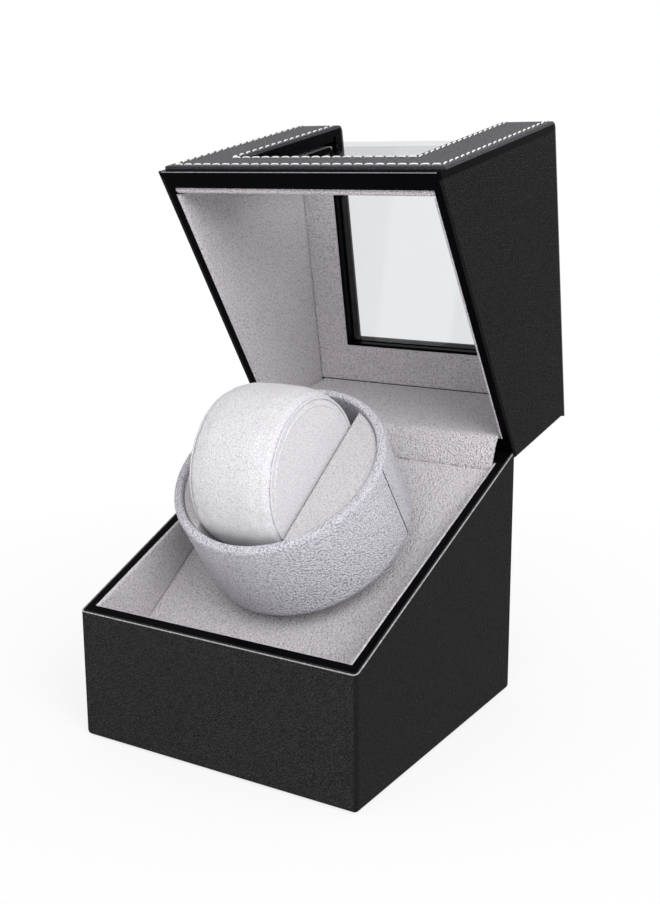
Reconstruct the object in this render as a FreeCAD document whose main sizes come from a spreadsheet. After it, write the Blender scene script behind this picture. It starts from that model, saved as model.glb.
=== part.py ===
import FreeCAD, Part
import math
import os
import Sketcher

# Watch winder box: a wedge-cut case with a hinged, windowed lid. A sloping deck inside carries a
# motor-driven cup with a removable cushion. All lengths are in millimetres and angles in degrees.
# Frame: +X to the right, the front faces -Y, +Z up, origin in the middle of the felt's underside.
# The lid is drawn shut and then turned back to its open stop.

SIZES = {
    # Outside of the shut box
    "box_width": 120.0,
    "box_depth": 124.0,
    "box_height": 152.0,
    "base_front": 50.0,
    "base_rear": 101.0,
    # Layers of the walls
    "leather": 1.2,
    "leather_round": 2.0,
    "leather_edge": 0.5,
    "leather_hem": 4.2,
    "side_board": 3.0,
    "rear_board": 8.0,
    "lining": 1.2,
    "rear_chamfer": 2.0,
    # Floor
    "felt": 0.4,
    "felt_inset": 3.0,
    "floor_board": 4.0,
    "block_side": 10.0,
    "block_cover": 1.0,
    "floor_screw_radius": 1.5,
    "floor_head_radius": 3.0,
    "floor_head": 1.6,
    # Sloping deck
    "deck_front_height": 17.6,
    "deck_rear_drop": 2.2,
    "deck_board": 5.0,
    "deck_lining": 1.0,
    "spindle_inset": 43.1,
    # Lid
    "parting_gap": 0.4,
    "open_angle": 80.0,
    "lid_flange": 2.8,
    "lid_front_plate": 4.0,
    "lid_top_board": 6.8,
    "pane": 2.0,
    "pane_lap": 8.0,
    "pane_bend": 3.0,
    "window_liner": 2.4,
    "window_bead": 1.2,
    "window_half": 38.4,
    "window_sill": 74.5,
    "window_rear_margin": 28.6,
    "front_band": 5.0,
    "lid_corner": 3.0,
    # Hinges
    "hinge_inset": 1.5,
    "hinge_drop": 2.5,
    "hinge_offset": 30.0,
    "hinge_length": 24.0,
    "lid_knuckle": 9.6,
    "knuckle_radius": 1.4,
    "hinge_pin": 0.6,
    "leaf": 0.8,
    "leaf_width": 6.0,
    "hinge_screw_pitch": 16.0,
    "hinge_screw_inset": 4.0,
    "hinge_screw_radius": 0.9,
    "hinge_screw_length": 4.5,
    "hinge_head_radius": 1.5,
    "hinge_head": 0.4,
    # Cloth over the hinge
    "gusset": 1.0,
    # Cup
    "cup_radius": 41.4,
    "cup_wall": 2.5,
    "cup_sleeve": 1.0,
    "lip_share": 0.9,
    "cup_gap": 9.2,
    "cup_depth": 38.8,
    "cup_floor": 4.0,
    "cup_round": 4.0,
    "slot_half": 18.3,
    "cheek_drop": 1.8,
    "hub_radius": 13.0,
    # Cushion
    "cushion_radius": 31.5,
    "cushion_width": 36.0,
    "cushion_shoulder": 3.6,
    "cushion_crown": 0.5,
    "cushion_shift": 2.0,
    "cushion_rise": 0.0,
    # Spindle and its drive
    "spindle_radius": 3.0,
    "hub_screw_radius": 1.5,
    "hub_screw_length": 9.0,
    "hub_head_radius": 2.8,
    "hub_head": 1.8,
    "bush_wall": 2.0,
    "bush_flange": 3.0,
    "bush_flange_depth": 1.4,
    "bush_rise": 0.5,
    "washer": 0.8,
    "washer_width": 4.0,
    "gear_module": 0.8,
    "gear_pressure": 20.0,
    "gear_addendum": 0.7,
    "gear_dedendum": 1.1,
    "gear_teeth": 60.0,
    "pinion_teeth": 12.0,
    "gear_drop": 2.0,
    "gear_width": 5.0,
    "pinion_overhang": 0.5,
    "backlash": 0.2,
    "bracket": 2.0,
    "bracket_drop": 10.0,
    "bracket_left": 34.0,
    "bracket_right": 46.0,
    "bracket_half": 31.0,
    "standoff_inset": 4.0,
    "standoff_radius": 3.0,
    "bracket_screw_radius": 1.4,
    "bracket_head_radius": 2.6,
    "bracket_head": 1.6,
    "motor_shaft": 1.5,
    "gearbox_radius": 12.0,
    "gearbox_length": 12.0,
    "motor_radius": 10.0,
    "motor_length": 24.0,
    "clip": 0.8,
    "clip_width": 2.0,
    # Control board
    "pcb_side_gap": 9.8,
    "pcb_front_gap": 23.8,
    "pcb_width": 34.0,
    "pcb_length": 46.0,
    "pcb": 1.6,
    "pcb_stand": 3.0,
    "pcb_post_radius": 2.0,
    "pcb_post_inset": 4.0,
    "chip_side": 8.0,
    "chip_height": 1.8,
    "terminal_width": 10.0,
    "terminal_depth": 7.0,
    "terminal_height": 8.0,
    # Rear socket and switch
    "rear_height": 28.0,
    "jack_x": -4.0,
    "jack_radius": 4.0,
    "jack_length": 13.0,
    "jack_flange": 5.6,
    "jack_flange_depth": 1.6,
    "jack_bore": 2.8,
    "jack_bore_depth": 9.0,
    "jack_pin": 1.0,
    "switch_x": -26.0,
    "switch_half_width": 6.4,
    "switch_half_height": 9.3,
    "switch_depth": 14.0,
    "switch_flange": 1.6,
    "switch_flange_lap": 1.2,
    "rocker_half_width": 4.5,
    "rocker_half_height": 6.2,
    "rocker_sink": 0.6,
    "rocker_foot": 2.0,
    "rocker_rise": 4.2,
    "rocker_dip": 1.4,
    "rocker_tilt": 10.0,
    "trunnion_radius": 1.0,
    "trunnion_length": 1.0,
    # Leads
    "lead_radius": 0.9,
    "lead_trim": 0.45,
    "motor_lead_run": 14.0,
    "motor_lead_sway": 2.0,
    "switch_lead_run": 9.0,
    "switch_lead_sway": 2.0,
    # Clearances
    "slide_fit": 0.05,
    "run_fit": 0.3,
    "rocker_gap": 1.0,
}

# How finely two free shapes are drawn, and how close two places count as the same
CUSHION_ROWS = 7
FLANK_STEPS = 4
SAME_PLACE = 1e-4

document = FreeCAD.newDocument("WatchWinderBox")
sheet = document.addObject("Spreadsheet::Sheet", "Sizes")
for row, (alias, number) in enumerate(SIZES.items(), start=1):
    sheet.set(f"A{row}", alias)
    sheet.set(f"B{row}", str(number))
    sheet.setAlias(f"B{row}", alias)
worked_out = document.addObject("App::VarSet", "WorkedOut")
document.recompute()


class Size:
    """A number together with the expression that gives it from the sheet."""

    def __init__(self, value, text):
        self.value = value
        self.text = text

    def __add__(self, other):
        other = as_size(other)
        return Size(self.value + other.value, f"({self.text} + {other.text})")

    def __sub__(self, other):
        other = as_size(other)
        return Size(self.value - other.value, f"({self.text} - {other.text})")

    def __rsub__(self, other):
        return as_size(other) - self

    def __mul__(self, other):
        other = as_size(other)
        return Size(self.value * other.value, f"({self.text} * {other.text})")

    def __truediv__(self, other):
        other = as_size(other)
        return Size(self.value / other.value, f"({self.text} / {other.text})")

    def __rtruediv__(self, other):
        return as_size(other) / self

    def __neg__(self):
        return Size(-self.value, f"(0 - {self.text})")

    __radd__ = __add__
    __rmul__ = __mul__


def as_size(item):
    """A plain number as a Size."""
    return item if isinstance(item, Size) else Size(float(item), f"({float(item)})")


def cell(alias):
    """The Size that a cell of the sheet holds."""
    return Size(float(sheet.get(alias)), f"Sizes.{alias}")


def named(name, size):
    """Keeps a worked-out Size as a named value of the document, to shorten what is built on it."""
    worked_out.addProperty("App::PropertyFloat", name)
    worked_out.setExpression(name, size.text)
    return Size(size.value, f"WorkedOut.{name}")


def sine(angle):
    return Size(math.sin(math.radians(angle.value)), f"sin({angle.text})")


def cosine(angle):
    return Size(math.cos(math.radians(angle.value)), f"cos({angle.text})")


def root(size):
    return Size(math.sqrt(size.value), f"sqrt({size.text})")


def arctangent(size):
    return Size(math.degrees(math.atan(size.value)), f"(atan({size.text}) / (1 deg))")


class Frame:
    """A frame turned about X: its origin (y, z) and the cosine, sine and angle of its turn."""

    def __init__(self, y, z, angle, turn_cosine, turn_sine):
        self.y = y
        self.z = z
        self.angle = angle
        self.cosine = turn_cosine
        self.sine = turn_sine

    def out(self, y, z):
        """A point of this frame, given in the box's frame."""
        return self.y + y * self.cosine - z * self.sine, self.z + y * self.sine + z * self.cosine


# Worked-out places that many pieces share
HALF_WIDTH = named("half_width", cell("box_width") / 2)
HALF_DEPTH = named("half_depth", cell("box_depth") / 2)
HEIGHT = cell("box_height")
BOARD_OUT = named("board_out", HALF_WIDTH - cell("leather"))
BOARD_IN = named("board_in", BOARD_OUT - cell("side_board"))
LINING_IN = named("lining_in", BOARD_IN - cell("lining"))
FRONT_OUT = named("front_out", cell("leather") - HALF_DEPTH)
FRONT_IN = named("front_in", FRONT_OUT + cell("side_board"))
REAR_OUT = named("rear_out", HALF_DEPTH - cell("leather"))
REAR_IN = named("rear_in", REAR_OUT - cell("rear_board"))
FLOOR_TOP = named("floor_top", cell("felt") + cell("floor_board"))
RIM_SLOPE = named("rim_slope", (cell("base_rear") - cell("base_front")) / cell("box_depth"))
RIM_LENGTH = named("rim_length", root(1 + RIM_SLOPE * RIM_SLOPE))
RIM_COSINE = named("rim_cosine", 1 / RIM_LENGTH)
RIM_SINE = named("rim_sine", RIM_SLOPE / RIM_LENGTH)
CHAMFER_RUN = named("chamfer_run", cell("rear_chamfer") / (1 + RIM_SLOPE))


def rim_height(y):
    """Height of the base's sloping rim at depth y."""
    return cell("base_front") + (y + HALF_DEPTH) * RIM_SLOPE


def lid_edge(y):
    """Height of the shut lid's lower edge at depth y."""
    return rim_height(y) + cell("parting_gap") / RIM_COSINE


PIVOT_Y = named("pivot_y", HALF_DEPTH - cell("hinge_inset"))
PIVOT_Z = named("pivot_z", cell("base_rear") - cell("hinge_drop"))
BASE_PLANE = named("base_plane", cell("hinge_drop") * RIM_COSINE - cell("hinge_inset") * RIM_SINE)
LID_PLANE = named("lid_plane", BASE_PLANE + cell("parting_gap"))
OPEN_COSINE = named("open_cosine", cosine(cell("open_angle")))
OPEN_SINE = named("open_sine", -sine(cell("open_angle")))
DECK_SLOPE = named(
    "deck_slope",
    (rim_height(REAR_IN) - cell("deck_rear_drop") - cell("deck_front_height")) / (REAR_IN - FRONT_IN),
)
DECK_LENGTH = named("deck_length", root(1 + DECK_SLOPE * DECK_SLOPE))


def deck_height(y):
    """Height of the deck's lined face at depth y."""
    return cell("deck_front_height") + (y - FRONT_IN) * DECK_SLOPE


SPINDLE_Y = named("spindle_y", REAR_IN - cell("spindle_inset"))
SPINDLE_Z = named("spindle_z", deck_height(SPINDLE_Y))
DECK = Frame(
    SPINDLE_Y,
    SPINDLE_Z,
    arctangent(DECK_SLOPE),
    1 / DECK_LENGTH,
    DECK_SLOPE / DECK_LENGTH,
)
RIM = Frame(PIVOT_Y, PIVOT_Z, arctangent(RIM_SLOPE), RIM_COSINE, RIM_SINE)
LID_RIM = Frame(PIVOT_Y, PIVOT_Z, arctangent(RIM_SLOPE) - cell("open_angle"), RIM_COSINE, RIM_SINE)
LID = Frame(
    PIVOT_Y - PIVOT_Y * OPEN_COSINE + PIVOT_Z * OPEN_SINE,
    PIVOT_Z - PIVOT_Y * OPEN_SINE - PIVOT_Z * OPEN_COSINE,
    -cell("open_angle"),
    OPEN_COSINE,
    OPEN_SINE,
)


def bind(item, name, size):
    item.setExpression(name, size.text)


def bind_turn(item, name, y, z, angle):
    """Sets a placement that turns about X, with its place and angle bound to the sheet."""
    turn = FreeCAD.Rotation(FreeCAD.Vector(1, 0, 0), angle.value)
    setattr(item, name, FreeCAD.Placement(FreeCAD.Vector(0, y.value, z.value), turn))
    bind(item, f"{name}.Base.y", y)
    bind(item, f"{name}.Base.z", z)
    if isinstance(angle, Size):
        bind(item, f"{name}.Rotation.Angle", angle)


def new_body(label, frame=None):
    """An empty body, in the box's frame or in a turned one."""
    body = document.addObject("PartDesign::Body", label)
    body.Label = label
    body.AllowCompound = True
    if frame:
        bind_turn(body, "Placement", frame.y, frame.z, frame.angle)
    return body


class Loop:
    """A closed outline of straight sides, each corner given by two Sizes."""

    def __init__(self, *corners):
        self.corners = [(as_size(x), as_size(y)) for x, y in corners]

    def draw(self, sketch):
        points = [FreeCAD.Vector(x.value, y.value, 0) for x, y in self.corners]
        first = sketch.GeometryCount
        count = len(points)
        for number, point in enumerate(points):
            sketch.addGeometry(Part.LineSegment(point, points[(number + 1) % count]), False)
        for number, (x, y) in enumerate(self.corners):
            side = first + number
            following = first + (number + 1) % count
            sketch.addConstraint(Sketcher.Constraint("Coincident", side, 2, following, 1))
            fix_point(sketch, side, 1, x, y)


class Ring:
    """A circle, given by its middle and radius."""

    def __init__(self, x, y, radius):
        self.x = as_size(x)
        self.y = as_size(y)
        self.radius = radius

    def draw(self, sketch):
        middle = FreeCAD.Vector(self.x.value, self.y.value, 0)
        circle = Part.Circle(middle, FreeCAD.Vector(0, 0, 1), self.radius.value)
        number = sketch.addGeometry(circle, False)
        fix_point(sketch, number, 3, self.x, self.y)
        constraint = sketch.addConstraint(Sketcher.Constraint("Radius", number, self.radius.value))
        bind(sketch, f"Constraints[{constraint}]", self.radius)


class Segment:
    """The part of a disc beyond an upright chord, on the side that sign gives."""

    def __init__(self, chord, radius, sign):
        self.chord = chord
        self.radius = radius
        self.sign = sign

    def draw(self, sketch):
        angle = math.acos(self.chord.value / self.radius.value)
        middle = 0 if self.sign > 0 else math.pi
        circle = Part.Circle(FreeCAD.Vector(), FreeCAD.Vector(0, 0, 1), self.radius.value)
        arc = sketch.addGeometry(Part.ArcOfCircle(circle, middle - angle, middle + angle), False)
        curve = sketch.Geometry[arc]
        line = sketch.addGeometry(Part.LineSegment(curve.EndPoint, curve.StartPoint), False)
        sketch.addConstraint(Sketcher.Constraint("Coincident", arc, 3, -1, 1))
        sketch.addConstraint(Sketcher.Constraint("Coincident", arc, 2, line, 1))
        sketch.addConstraint(Sketcher.Constraint("Coincident", arc, 1, line, 2))
        sketch.addConstraint(Sketcher.Constraint("Vertical", line))
        constraint = sketch.addConstraint(Sketcher.Constraint("Radius", arc, self.radius.value))
        bind(sketch, f"Constraints[{constraint}]", self.radius)
        chord = self.chord * self.sign
        constraint = sketch.addConstraint(Sketcher.Constraint("DistanceX", -1, 1, line, 1, chord.value))
        bind(sketch, f"Constraints[{constraint}]", chord)


def fix_point(sketch, geometry, point, x, y):
    """Holds a point of a sketch at Sizes measured from the sketch's origin."""
    for kind, size in (("DistanceX", x), ("DistanceY", y)):
        constraint = sketch.addConstraint(Sketcher.Constraint(kind, -1, 1, geometry, point, size.value))
        bind(sketch, f"Constraints[{constraint}]", size)


def oblong(left, right, low, high):
    """A rectangle as a Loop."""
    return Loop((left, low), (right, low), (right, high), (left, high))


def new_sketch(body, plane, level, outlines, frame=None):
    """A sketch on one of the body's own planes, at a level along that plane's axis.

    XY is seen from above, XZ from the front and YZ from the right. With a frame, a YZ or XY
    sketch is drawn in that frame, which is turned about X.
    """
    sketch = body.newObject("Sketcher::SketchObject", f"{body.Label}_outline")
    support = next(item for item in body.Origin.OriginFeatures if item.Role == f"{plane}_Plane")
    sketch.AttachmentSupport = [(support, "")]
    sketch.MapMode = "FlatFace"
    if frame and plane == "YZ":
        turn = FreeCAD.Rotation(FreeCAD.Vector(0, 0, 1), frame.angle.value)
        place = FreeCAD.Vector(frame.y.value, frame.z.value, level.value)
        sketch.AttachmentOffset = FreeCAD.Placement(place, turn)
        bind(sketch, "AttachmentOffset.Base.x", frame.y)
        bind(sketch, "AttachmentOffset.Base.y", frame.z)
        bind(sketch, "AttachmentOffset.Base.z", level)
        bind(sketch, "AttachmentOffset.Rotation.Angle", frame.angle)
    elif frame:
        bind_turn(sketch, "AttachmentOffset", *frame.out(as_size(0), level), frame.angle)
    else:
        along = -level if plane == "XZ" else level
        sketch.AttachmentOffset = FreeCAD.Placement(FreeCAD.Vector(0, 0, along.value), FreeCAD.Rotation())
        bind(sketch, "AttachmentOffset.Base.z", along)
    for outline in outlines:
        outline.draw(sketch)
    return sketch


def add(body, plane, low, high, *outlines):
    """Pads outlines from low to high along the plane's axis."""
    start = high if plane == "XZ" else low
    pad = body.newObject("PartDesign::Pad", f"{body.Label}_pad")
    pad.Profile = new_sketch(body, plane, as_size(start), outlines)
    bind(pad, "Length", as_size(high) - low)
    return body


def cut(body, plane, low, high, *outlines, frame=None):
    """Cuts outlines out of the body from low to high along the plane's axis."""
    document.recompute()
    before = body.Shape.Volume
    start = low if plane == "XZ" else high
    pocket = body.newObject("PartDesign::Pocket", f"{body.Label}_pocket")
    pocket.Profile = new_sketch(body, plane, as_size(start), outlines, frame)
    bind(pocket, "Length", as_size(high) - low)
    document.recompute()
    if body.Shape.Volume >= before:
        raise RuntimeError(f"a cut in {body.Label} takes nothing away")
    return body


def spin(body, *corners):
    """Turns an outline of (radius, height) corners once round the body's Z axis."""
    turned = body.newObject("PartDesign::Revolution", f"{body.Label}_turned")
    turned.Profile = new_sketch(body, "XZ", as_size(0), [Loop(*corners)])
    turned.ReferenceAxis = (turned.Profile[0], ["V_Axis"])
    turned.Angle = 360
    return body


def round_edges(body, radius, wanted):
    """Fillets each edge of the body that passes the test."""
    document.recompute()
    base = body.Tip
    edges = enumerate(base.Shape.Edges, start=1)
    names = [f"Edge{number}" for number, edge in edges if wanted(edge)]
    fillet = body.newObject("PartDesign::Fillet", f"{body.Label}_round")
    fillet.Base = (base, names)
    bind(fillet, "Radius", radius)
    return body


def near(number, size):
    return abs(number - size.value) < SAME_PLACE


def plain_feature(label, shape, frame=None):
    """A solid worked out with Part's own functions, placed after its shape is set."""
    feature = document.addObject("Part::Feature", label)
    feature.Label = label
    feature.Shape = shape
    if frame:
        bind_turn(feature, "Placement", frame.y, frame.z, frame.angle)
    return feature


pieces = []


def keep(item):
    """Adds a finished piece to those that are written."""
    pieces.append(item)
    return item


def sides():
    return (("left", -1), ("right", 1))


def side_range(inner, outer, sign):
    """An x range from inner to outer, on the left or the right."""
    return (inner, outer) if sign > 0 else (-outer, -inner)


BOARD_FOOT = named("board_foot", cell("felt") + cell("leather"))


def wall_outline(front, rear, bottom):
    """Side view of the base between two depths, with its rear top corner taken off at 45 degrees."""
    top = cell("base_rear") - cell("rear_chamfer") + HALF_DEPTH - rear
    corner = HALF_DEPTH - CHAMFER_RUN
    return Loop(
        (front, bottom),
        (rear, bottom),
        (rear, top),
        (corner, rim_height(corner)),
        (front, rim_height(front)),
    )


def upright(front, rear, low, high):
    """Side view of an upright sheet whose lower and upper edges follow two lines."""
    return Loop((front, low(front)), (rear, low(rear)), (rear, high(rear)), (front, high(front)))


def switch_outline(grow):
    """Outline of the switch's housing, seen from the front, grown by a clearance or a flange."""
    half_width = cell("switch_half_width") + grow
    half_height = cell("switch_half_height") + grow
    middle = cell("switch_x")
    return oblong(
        middle - half_width,
        middle + half_width,
        cell("rear_height") - half_height,
        cell("rear_height") + half_height,
    )


def jack_ring(radius):
    return Ring(cell("jack_x"), cell("rear_height"), radius)


def hinge_spans(length):
    """The x range of a length about the middle of each hinge."""
    for _, sign in sides():
        middle = cell("hinge_offset") * sign
        yield middle - length / 2, middle + length / 2


def hinge_screws(radius):
    """Circles for the two screws of each leaf."""
    for _, sign in sides():
        for end in (-1, 1):
            x = cell("hinge_offset") * sign + cell("hinge_screw_pitch") * (end / 2)
            yield Ring(x, -cell("hinge_screw_inset"), radius)


KNUCKLE_ROOM = cell("knuckle_radius") + cell("run_fit")
SCREW_HOLE = cell("hinge_screw_radius") + cell("slide_fit")
HEAD_HOLE = cell("hinge_head_radius") + cell("slide_fit")


def cut_knuckle_notches(body):
    """Opens the base's rear wall behind and above the hinge knuckles."""
    room = oblong(PIVOT_Y - KNUCKLE_ROOM, HALF_DEPTH, PIVOT_Z - KNUCKLE_ROOM, cell("base_rear"))
    for left, right in hinge_spans(cell("hinge_length") + cell("run_fit") * 2):
        cut(body, "YZ", left, right, room)


def cut_rear_fittings(body, front, rear):
    """Cuts the holes for the power socket and the switch through a layer of the rear wall."""
    cut(body, "XZ", front, rear, jack_ring(cell("jack_radius") + cell("slide_fit")))
    cut(body, "XZ", front, rear, switch_outline(cell("slide_fit")))


def build_base_boards():
    for side, sign in sides():
        low, high = side_range(BOARD_IN, BOARD_OUT, sign)
        outline = wall_outline(FRONT_OUT, REAR_OUT, BOARD_FOOT)
        keep(add(new_body(f"base_{side}_board"), "YZ", low, high, outline))
    front = Loop(
        (FRONT_OUT, BOARD_FOOT),
        (FRONT_IN, BOARD_FOOT),
        (FRONT_IN, rim_height(FRONT_IN)),
        (FRONT_OUT, rim_height(FRONT_OUT)),
    )
    keep(add(new_body("base_front_board"), "YZ", -BOARD_IN, BOARD_IN, front))
    rear = new_body("base_rear_board")
    add(rear, "YZ", -BOARD_IN, BOARD_IN, wall_outline(REAR_IN, REAR_OUT, BOARD_FOOT))
    cut_knuckle_notches(rear)
    seat = oblong(
        -cell("leaf_width") - cell("slide_fit"),
        cell("knuckle_radius"),
        BASE_PLANE - cell("leaf") - cell("slide_fit"),
        BASE_PLANE + cell("rear_board"),
    )
    for left, right in hinge_spans(cell("hinge_length") + cell("slide_fit") * 2):
        cut(rear, "YZ", left, right, seat, frame=RIM)
    bottom = BASE_PLANE - cell("leaf") - cell("hinge_screw_length") - cell("slide_fit")
    cut(rear, "XY", bottom, BASE_PLANE, *hinge_screws(SCREW_HOLE), frame=RIM)
    cut_rear_fittings(rear, REAR_IN, REAR_OUT)
    keep(rear)


def build_base_leather():
    """One cover round the four outer faces, turned under the boards as a hem."""
    wrap = new_body("base_leather")
    outline = wall_outline(-HALF_DEPTH, HALF_DEPTH, cell("felt"))
    add(wrap, "YZ", -HALF_WIDTH, HALF_WIDTH, outline)
    round_edges(wrap, cell("leather_round"), is_outer_upright)
    round_edges(wrap, cell("leather_round"), lambda edge: near(edge.BoundBox.ZMax, cell("felt")))
    round_edges(wrap, cell("leather_edge"), is_base_rim)
    cut(wrap, "YZ", -BOARD_OUT, BOARD_OUT, oblong(FRONT_OUT, REAR_OUT, BOARD_FOOT, HEIGHT))
    hem = cell("leather_hem")
    inner = oblong(hem - HALF_WIDTH, HALF_WIDTH - hem, hem - HALF_DEPTH, HALF_DEPTH - hem)
    cut(wrap, "XY", cell("felt"), BOARD_FOOT, inner)
    cut_knuckle_notches(wrap)
    cut_rear_fittings(wrap, REAR_OUT, HALF_DEPTH)
    keep(wrap)


def is_base_rim(edge):
    """An edge of the base's sloping rim, along its front and its two sides."""
    box = edge.BoundBox
    low = cell("base_front").value - SAME_PLACE
    return box.ZMin > low and box.YMin < (HALF_DEPTH - CHAMFER_RUN).value - SAME_PLACE


def is_outer_upright(edge):
    """An upright edge at one of the box's four outer corners."""
    box = edge.BoundBox
    straight = box.XLength < SAME_PLACE and box.YLength < SAME_PLACE
    return straight and near(abs(box.XMin), HALF_WIDTH) and near(abs(box.YMin), HALF_DEPTH)


def block_corners():
    """Middle of each corner block, as (x, y)."""
    half = cell("block_side") / 2
    for _, sign in sides():
        x = (BOARD_IN - half) * sign
        yield x, FRONT_IN + half
        yield x, REAR_IN - half


def build_floor():
    screws = list(block_corners())
    hole = cell("floor_screw_radius") + cell("slide_fit")
    head_hole = cell("floor_head_radius") + cell("slide_fit")
    inset = cell("felt_inset")
    felt = new_body("felt_pad")
    face = oblong(inset - HALF_WIDTH, HALF_WIDTH - inset, inset - HALF_DEPTH, HALF_DEPTH - inset)
    add(felt, "XY", as_size(0), cell("felt"), face)
    cut(felt, "XY", as_size(0), cell("felt"), *[Ring(x, y, head_hole) for x, y in screws])
    keep(felt)
    floor = new_body("floor_board")
    add(floor, "XY", cell("felt"), FLOOR_TOP, oblong(-BOARD_IN, BOARD_IN, FRONT_IN, REAR_IN))
    cut(floor, "XY", cell("felt"), FLOOR_TOP, *[Ring(x, y, hole) for x, y in screws])
    head_top = cell("felt") + cell("floor_head")
    cut(floor, "XY", cell("felt"), head_top, *[Ring(x, y, head_hole) for x, y in screws])
    keep(floor)
    half = cell("block_side") / 2
    blocks = new_body("corner_blocks")
    deck_thickness = (cell("deck_lining") + cell("deck_board")) * DECK_LENGTH
    block_top = cell("deck_front_height") - deck_thickness - cell("run_fit")
    squares = [oblong(x - half, x + half, y - half, y + half) for x, y in screws]
    add(blocks, "XY", FLOOR_TOP, block_top, *squares)
    tip = block_top - cell("block_cover")
    cut(blocks, "XY", FLOOR_TOP, tip + cell("slide_fit"), *[Ring(x, y, hole) for x, y in screws])
    keep(blocks)
    driven = new_body("floor_screws")
    add(driven, "XY", cell("felt"), head_top, *[Ring(x, y, cell("floor_head_radius")) for x, y in screws])
    add(driven, "XY", head_top, tip, *[Ring(x, y, cell("floor_screw_radius")) for x, y in screws])
    keep(driven)


def deck_outline(bottom, top):
    """Side view of a layer of the deck in the deck's frame, with upright ends at the two boards."""
    corners = []
    for end, levels in ((FRONT_IN, (top, bottom)), (REAR_IN, (bottom, top))):
        for level in levels:
            corners.append(((end - DECK.y + level * DECK.sine) / DECK.cosine, level))
    return Loop(*corners)


BUSH_RADIUS = cell("spindle_radius") + cell("slide_fit") + cell("bush_wall")
BOARD_TOP = -cell("deck_lining")
BOARD_BOTTOM = named("board_bottom", BOARD_TOP - cell("deck_board"))


def build_deck():
    board = new_body("deck_board", DECK)
    add(board, "YZ", -BOARD_IN, BOARD_IN, deck_outline(BOARD_BOTTOM, BOARD_TOP))
    cut(board, "XY", BOARD_BOTTOM, BOARD_TOP, Ring(0, 0, BUSH_RADIUS + cell("slide_fit")))
    screw_hole = cell("bracket_screw_radius") + cell("slide_fit")
    cut(board, "XY", BOARD_BOTTOM, BOARD_TOP, *[Ring(x, y, screw_hole) for x, y in bracket_corners()])
    keep(board)
    cloth = new_body("deck_lining", DECK)
    add(cloth, "YZ", -BOARD_IN, BOARD_IN, deck_outline(BOARD_TOP, as_size(0)))
    cut(cloth, "XY", BOARD_TOP, as_size(0), Ring(0, 0, BUSH_RADIUS + cell("slide_fit")))
    keep(cloth)


def build_base_linings():
    for side, sign in sides():
        low, high = side_range(LINING_IN, BOARD_IN, sign)
        outline = upright(FRONT_IN, REAR_IN, deck_height, rim_height)
        keep(add(new_body(f"base_{side}_lining"), "YZ", low, high, outline))
    outline = upright(FRONT_IN, FRONT_IN + cell("lining"), deck_height, rim_height)
    keep(add(new_body("base_front_lining"), "YZ", -LINING_IN, LINING_IN, outline))


def build_hinge_gusset():
    """The lining cloth that bridges the open hinge, from the deck's rear edge to the lid's lining."""
    gap = cell("run_fit")
    thick = cell("gusset")
    back = REAR_IN - gap
    ledge_y = REAR_IN - cell("lining")
    lid_y, lid_z = LID.out(ledge_y, lid_edge(ledge_y))
    half = LINING_IN - gap
    outline = Loop(
        (back - thick, deck_height(back) + gap),
        (back, deck_height(back) + gap),
        (back, rim_height(REAR_IN) + gap),
        (lid_y - gap, lid_z),
        (lid_y - gap - thick, lid_z),
        (back - thick, rim_height(REAR_IN) + gap + thick),
    )
    keep(add(new_body("hinge_gusset"), "YZ", -half, half, outline))


WINDOW_REAR = named("window_rear", HALF_DEPTH - cell("window_rear_margin"))
FLANGE_IN = named("flange_in", FRONT_OUT + cell("lid_flange"))
PLATE_IN = named("plate_in", FLANGE_IN + cell("lid_front_plate"))
PANE_FRONT = named("pane_front", PLATE_IN - cell("pane"))
FRONT_LINER_IN = named("front_liner_in", PLATE_IN + cell("window_liner"))
TOP_OUT = named("top_out", HEIGHT - cell("leather"))
TOP_IN = named("top_in", TOP_OUT - cell("lid_top_board"))
PANE_TOP = named("pane_top", TOP_IN + cell("pane"))
TOP_LINER_IN = named("top_liner_in", TOP_IN - cell("window_liner"))
PANE_HALF = cell("window_half") + cell("pane_lap")
PANE_SILL = cell("window_sill") - cell("pane_lap")
PANE_REAR = WINDOW_REAR + cell("pane_lap")


def cut_front_window(body, front, rear, grow=as_size(0)):
    """Opens the window in a front layer of the lid, from its sill upwards."""
    half = cell("window_half") + grow
    cut(body, "XZ", front, rear, oblong(-half, half, cell("window_sill") - grow, HEIGHT))


def cut_top_window(body, bottom, top, grow=as_size(0)):
    """Opens the window in a top layer of the lid, from the front to its rear edge."""
    half = cell("window_half") + grow
    cut(body, "XY", bottom, top, oblong(-half, half, -HALF_DEPTH, WINDOW_REAR + grow))


def lid_wall(front, rear, top):
    """Side view of a lid wall between two depths, from the lid's edge up to a level top."""
    return upright(front, rear, lid_edge, lambda y: top)


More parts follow.
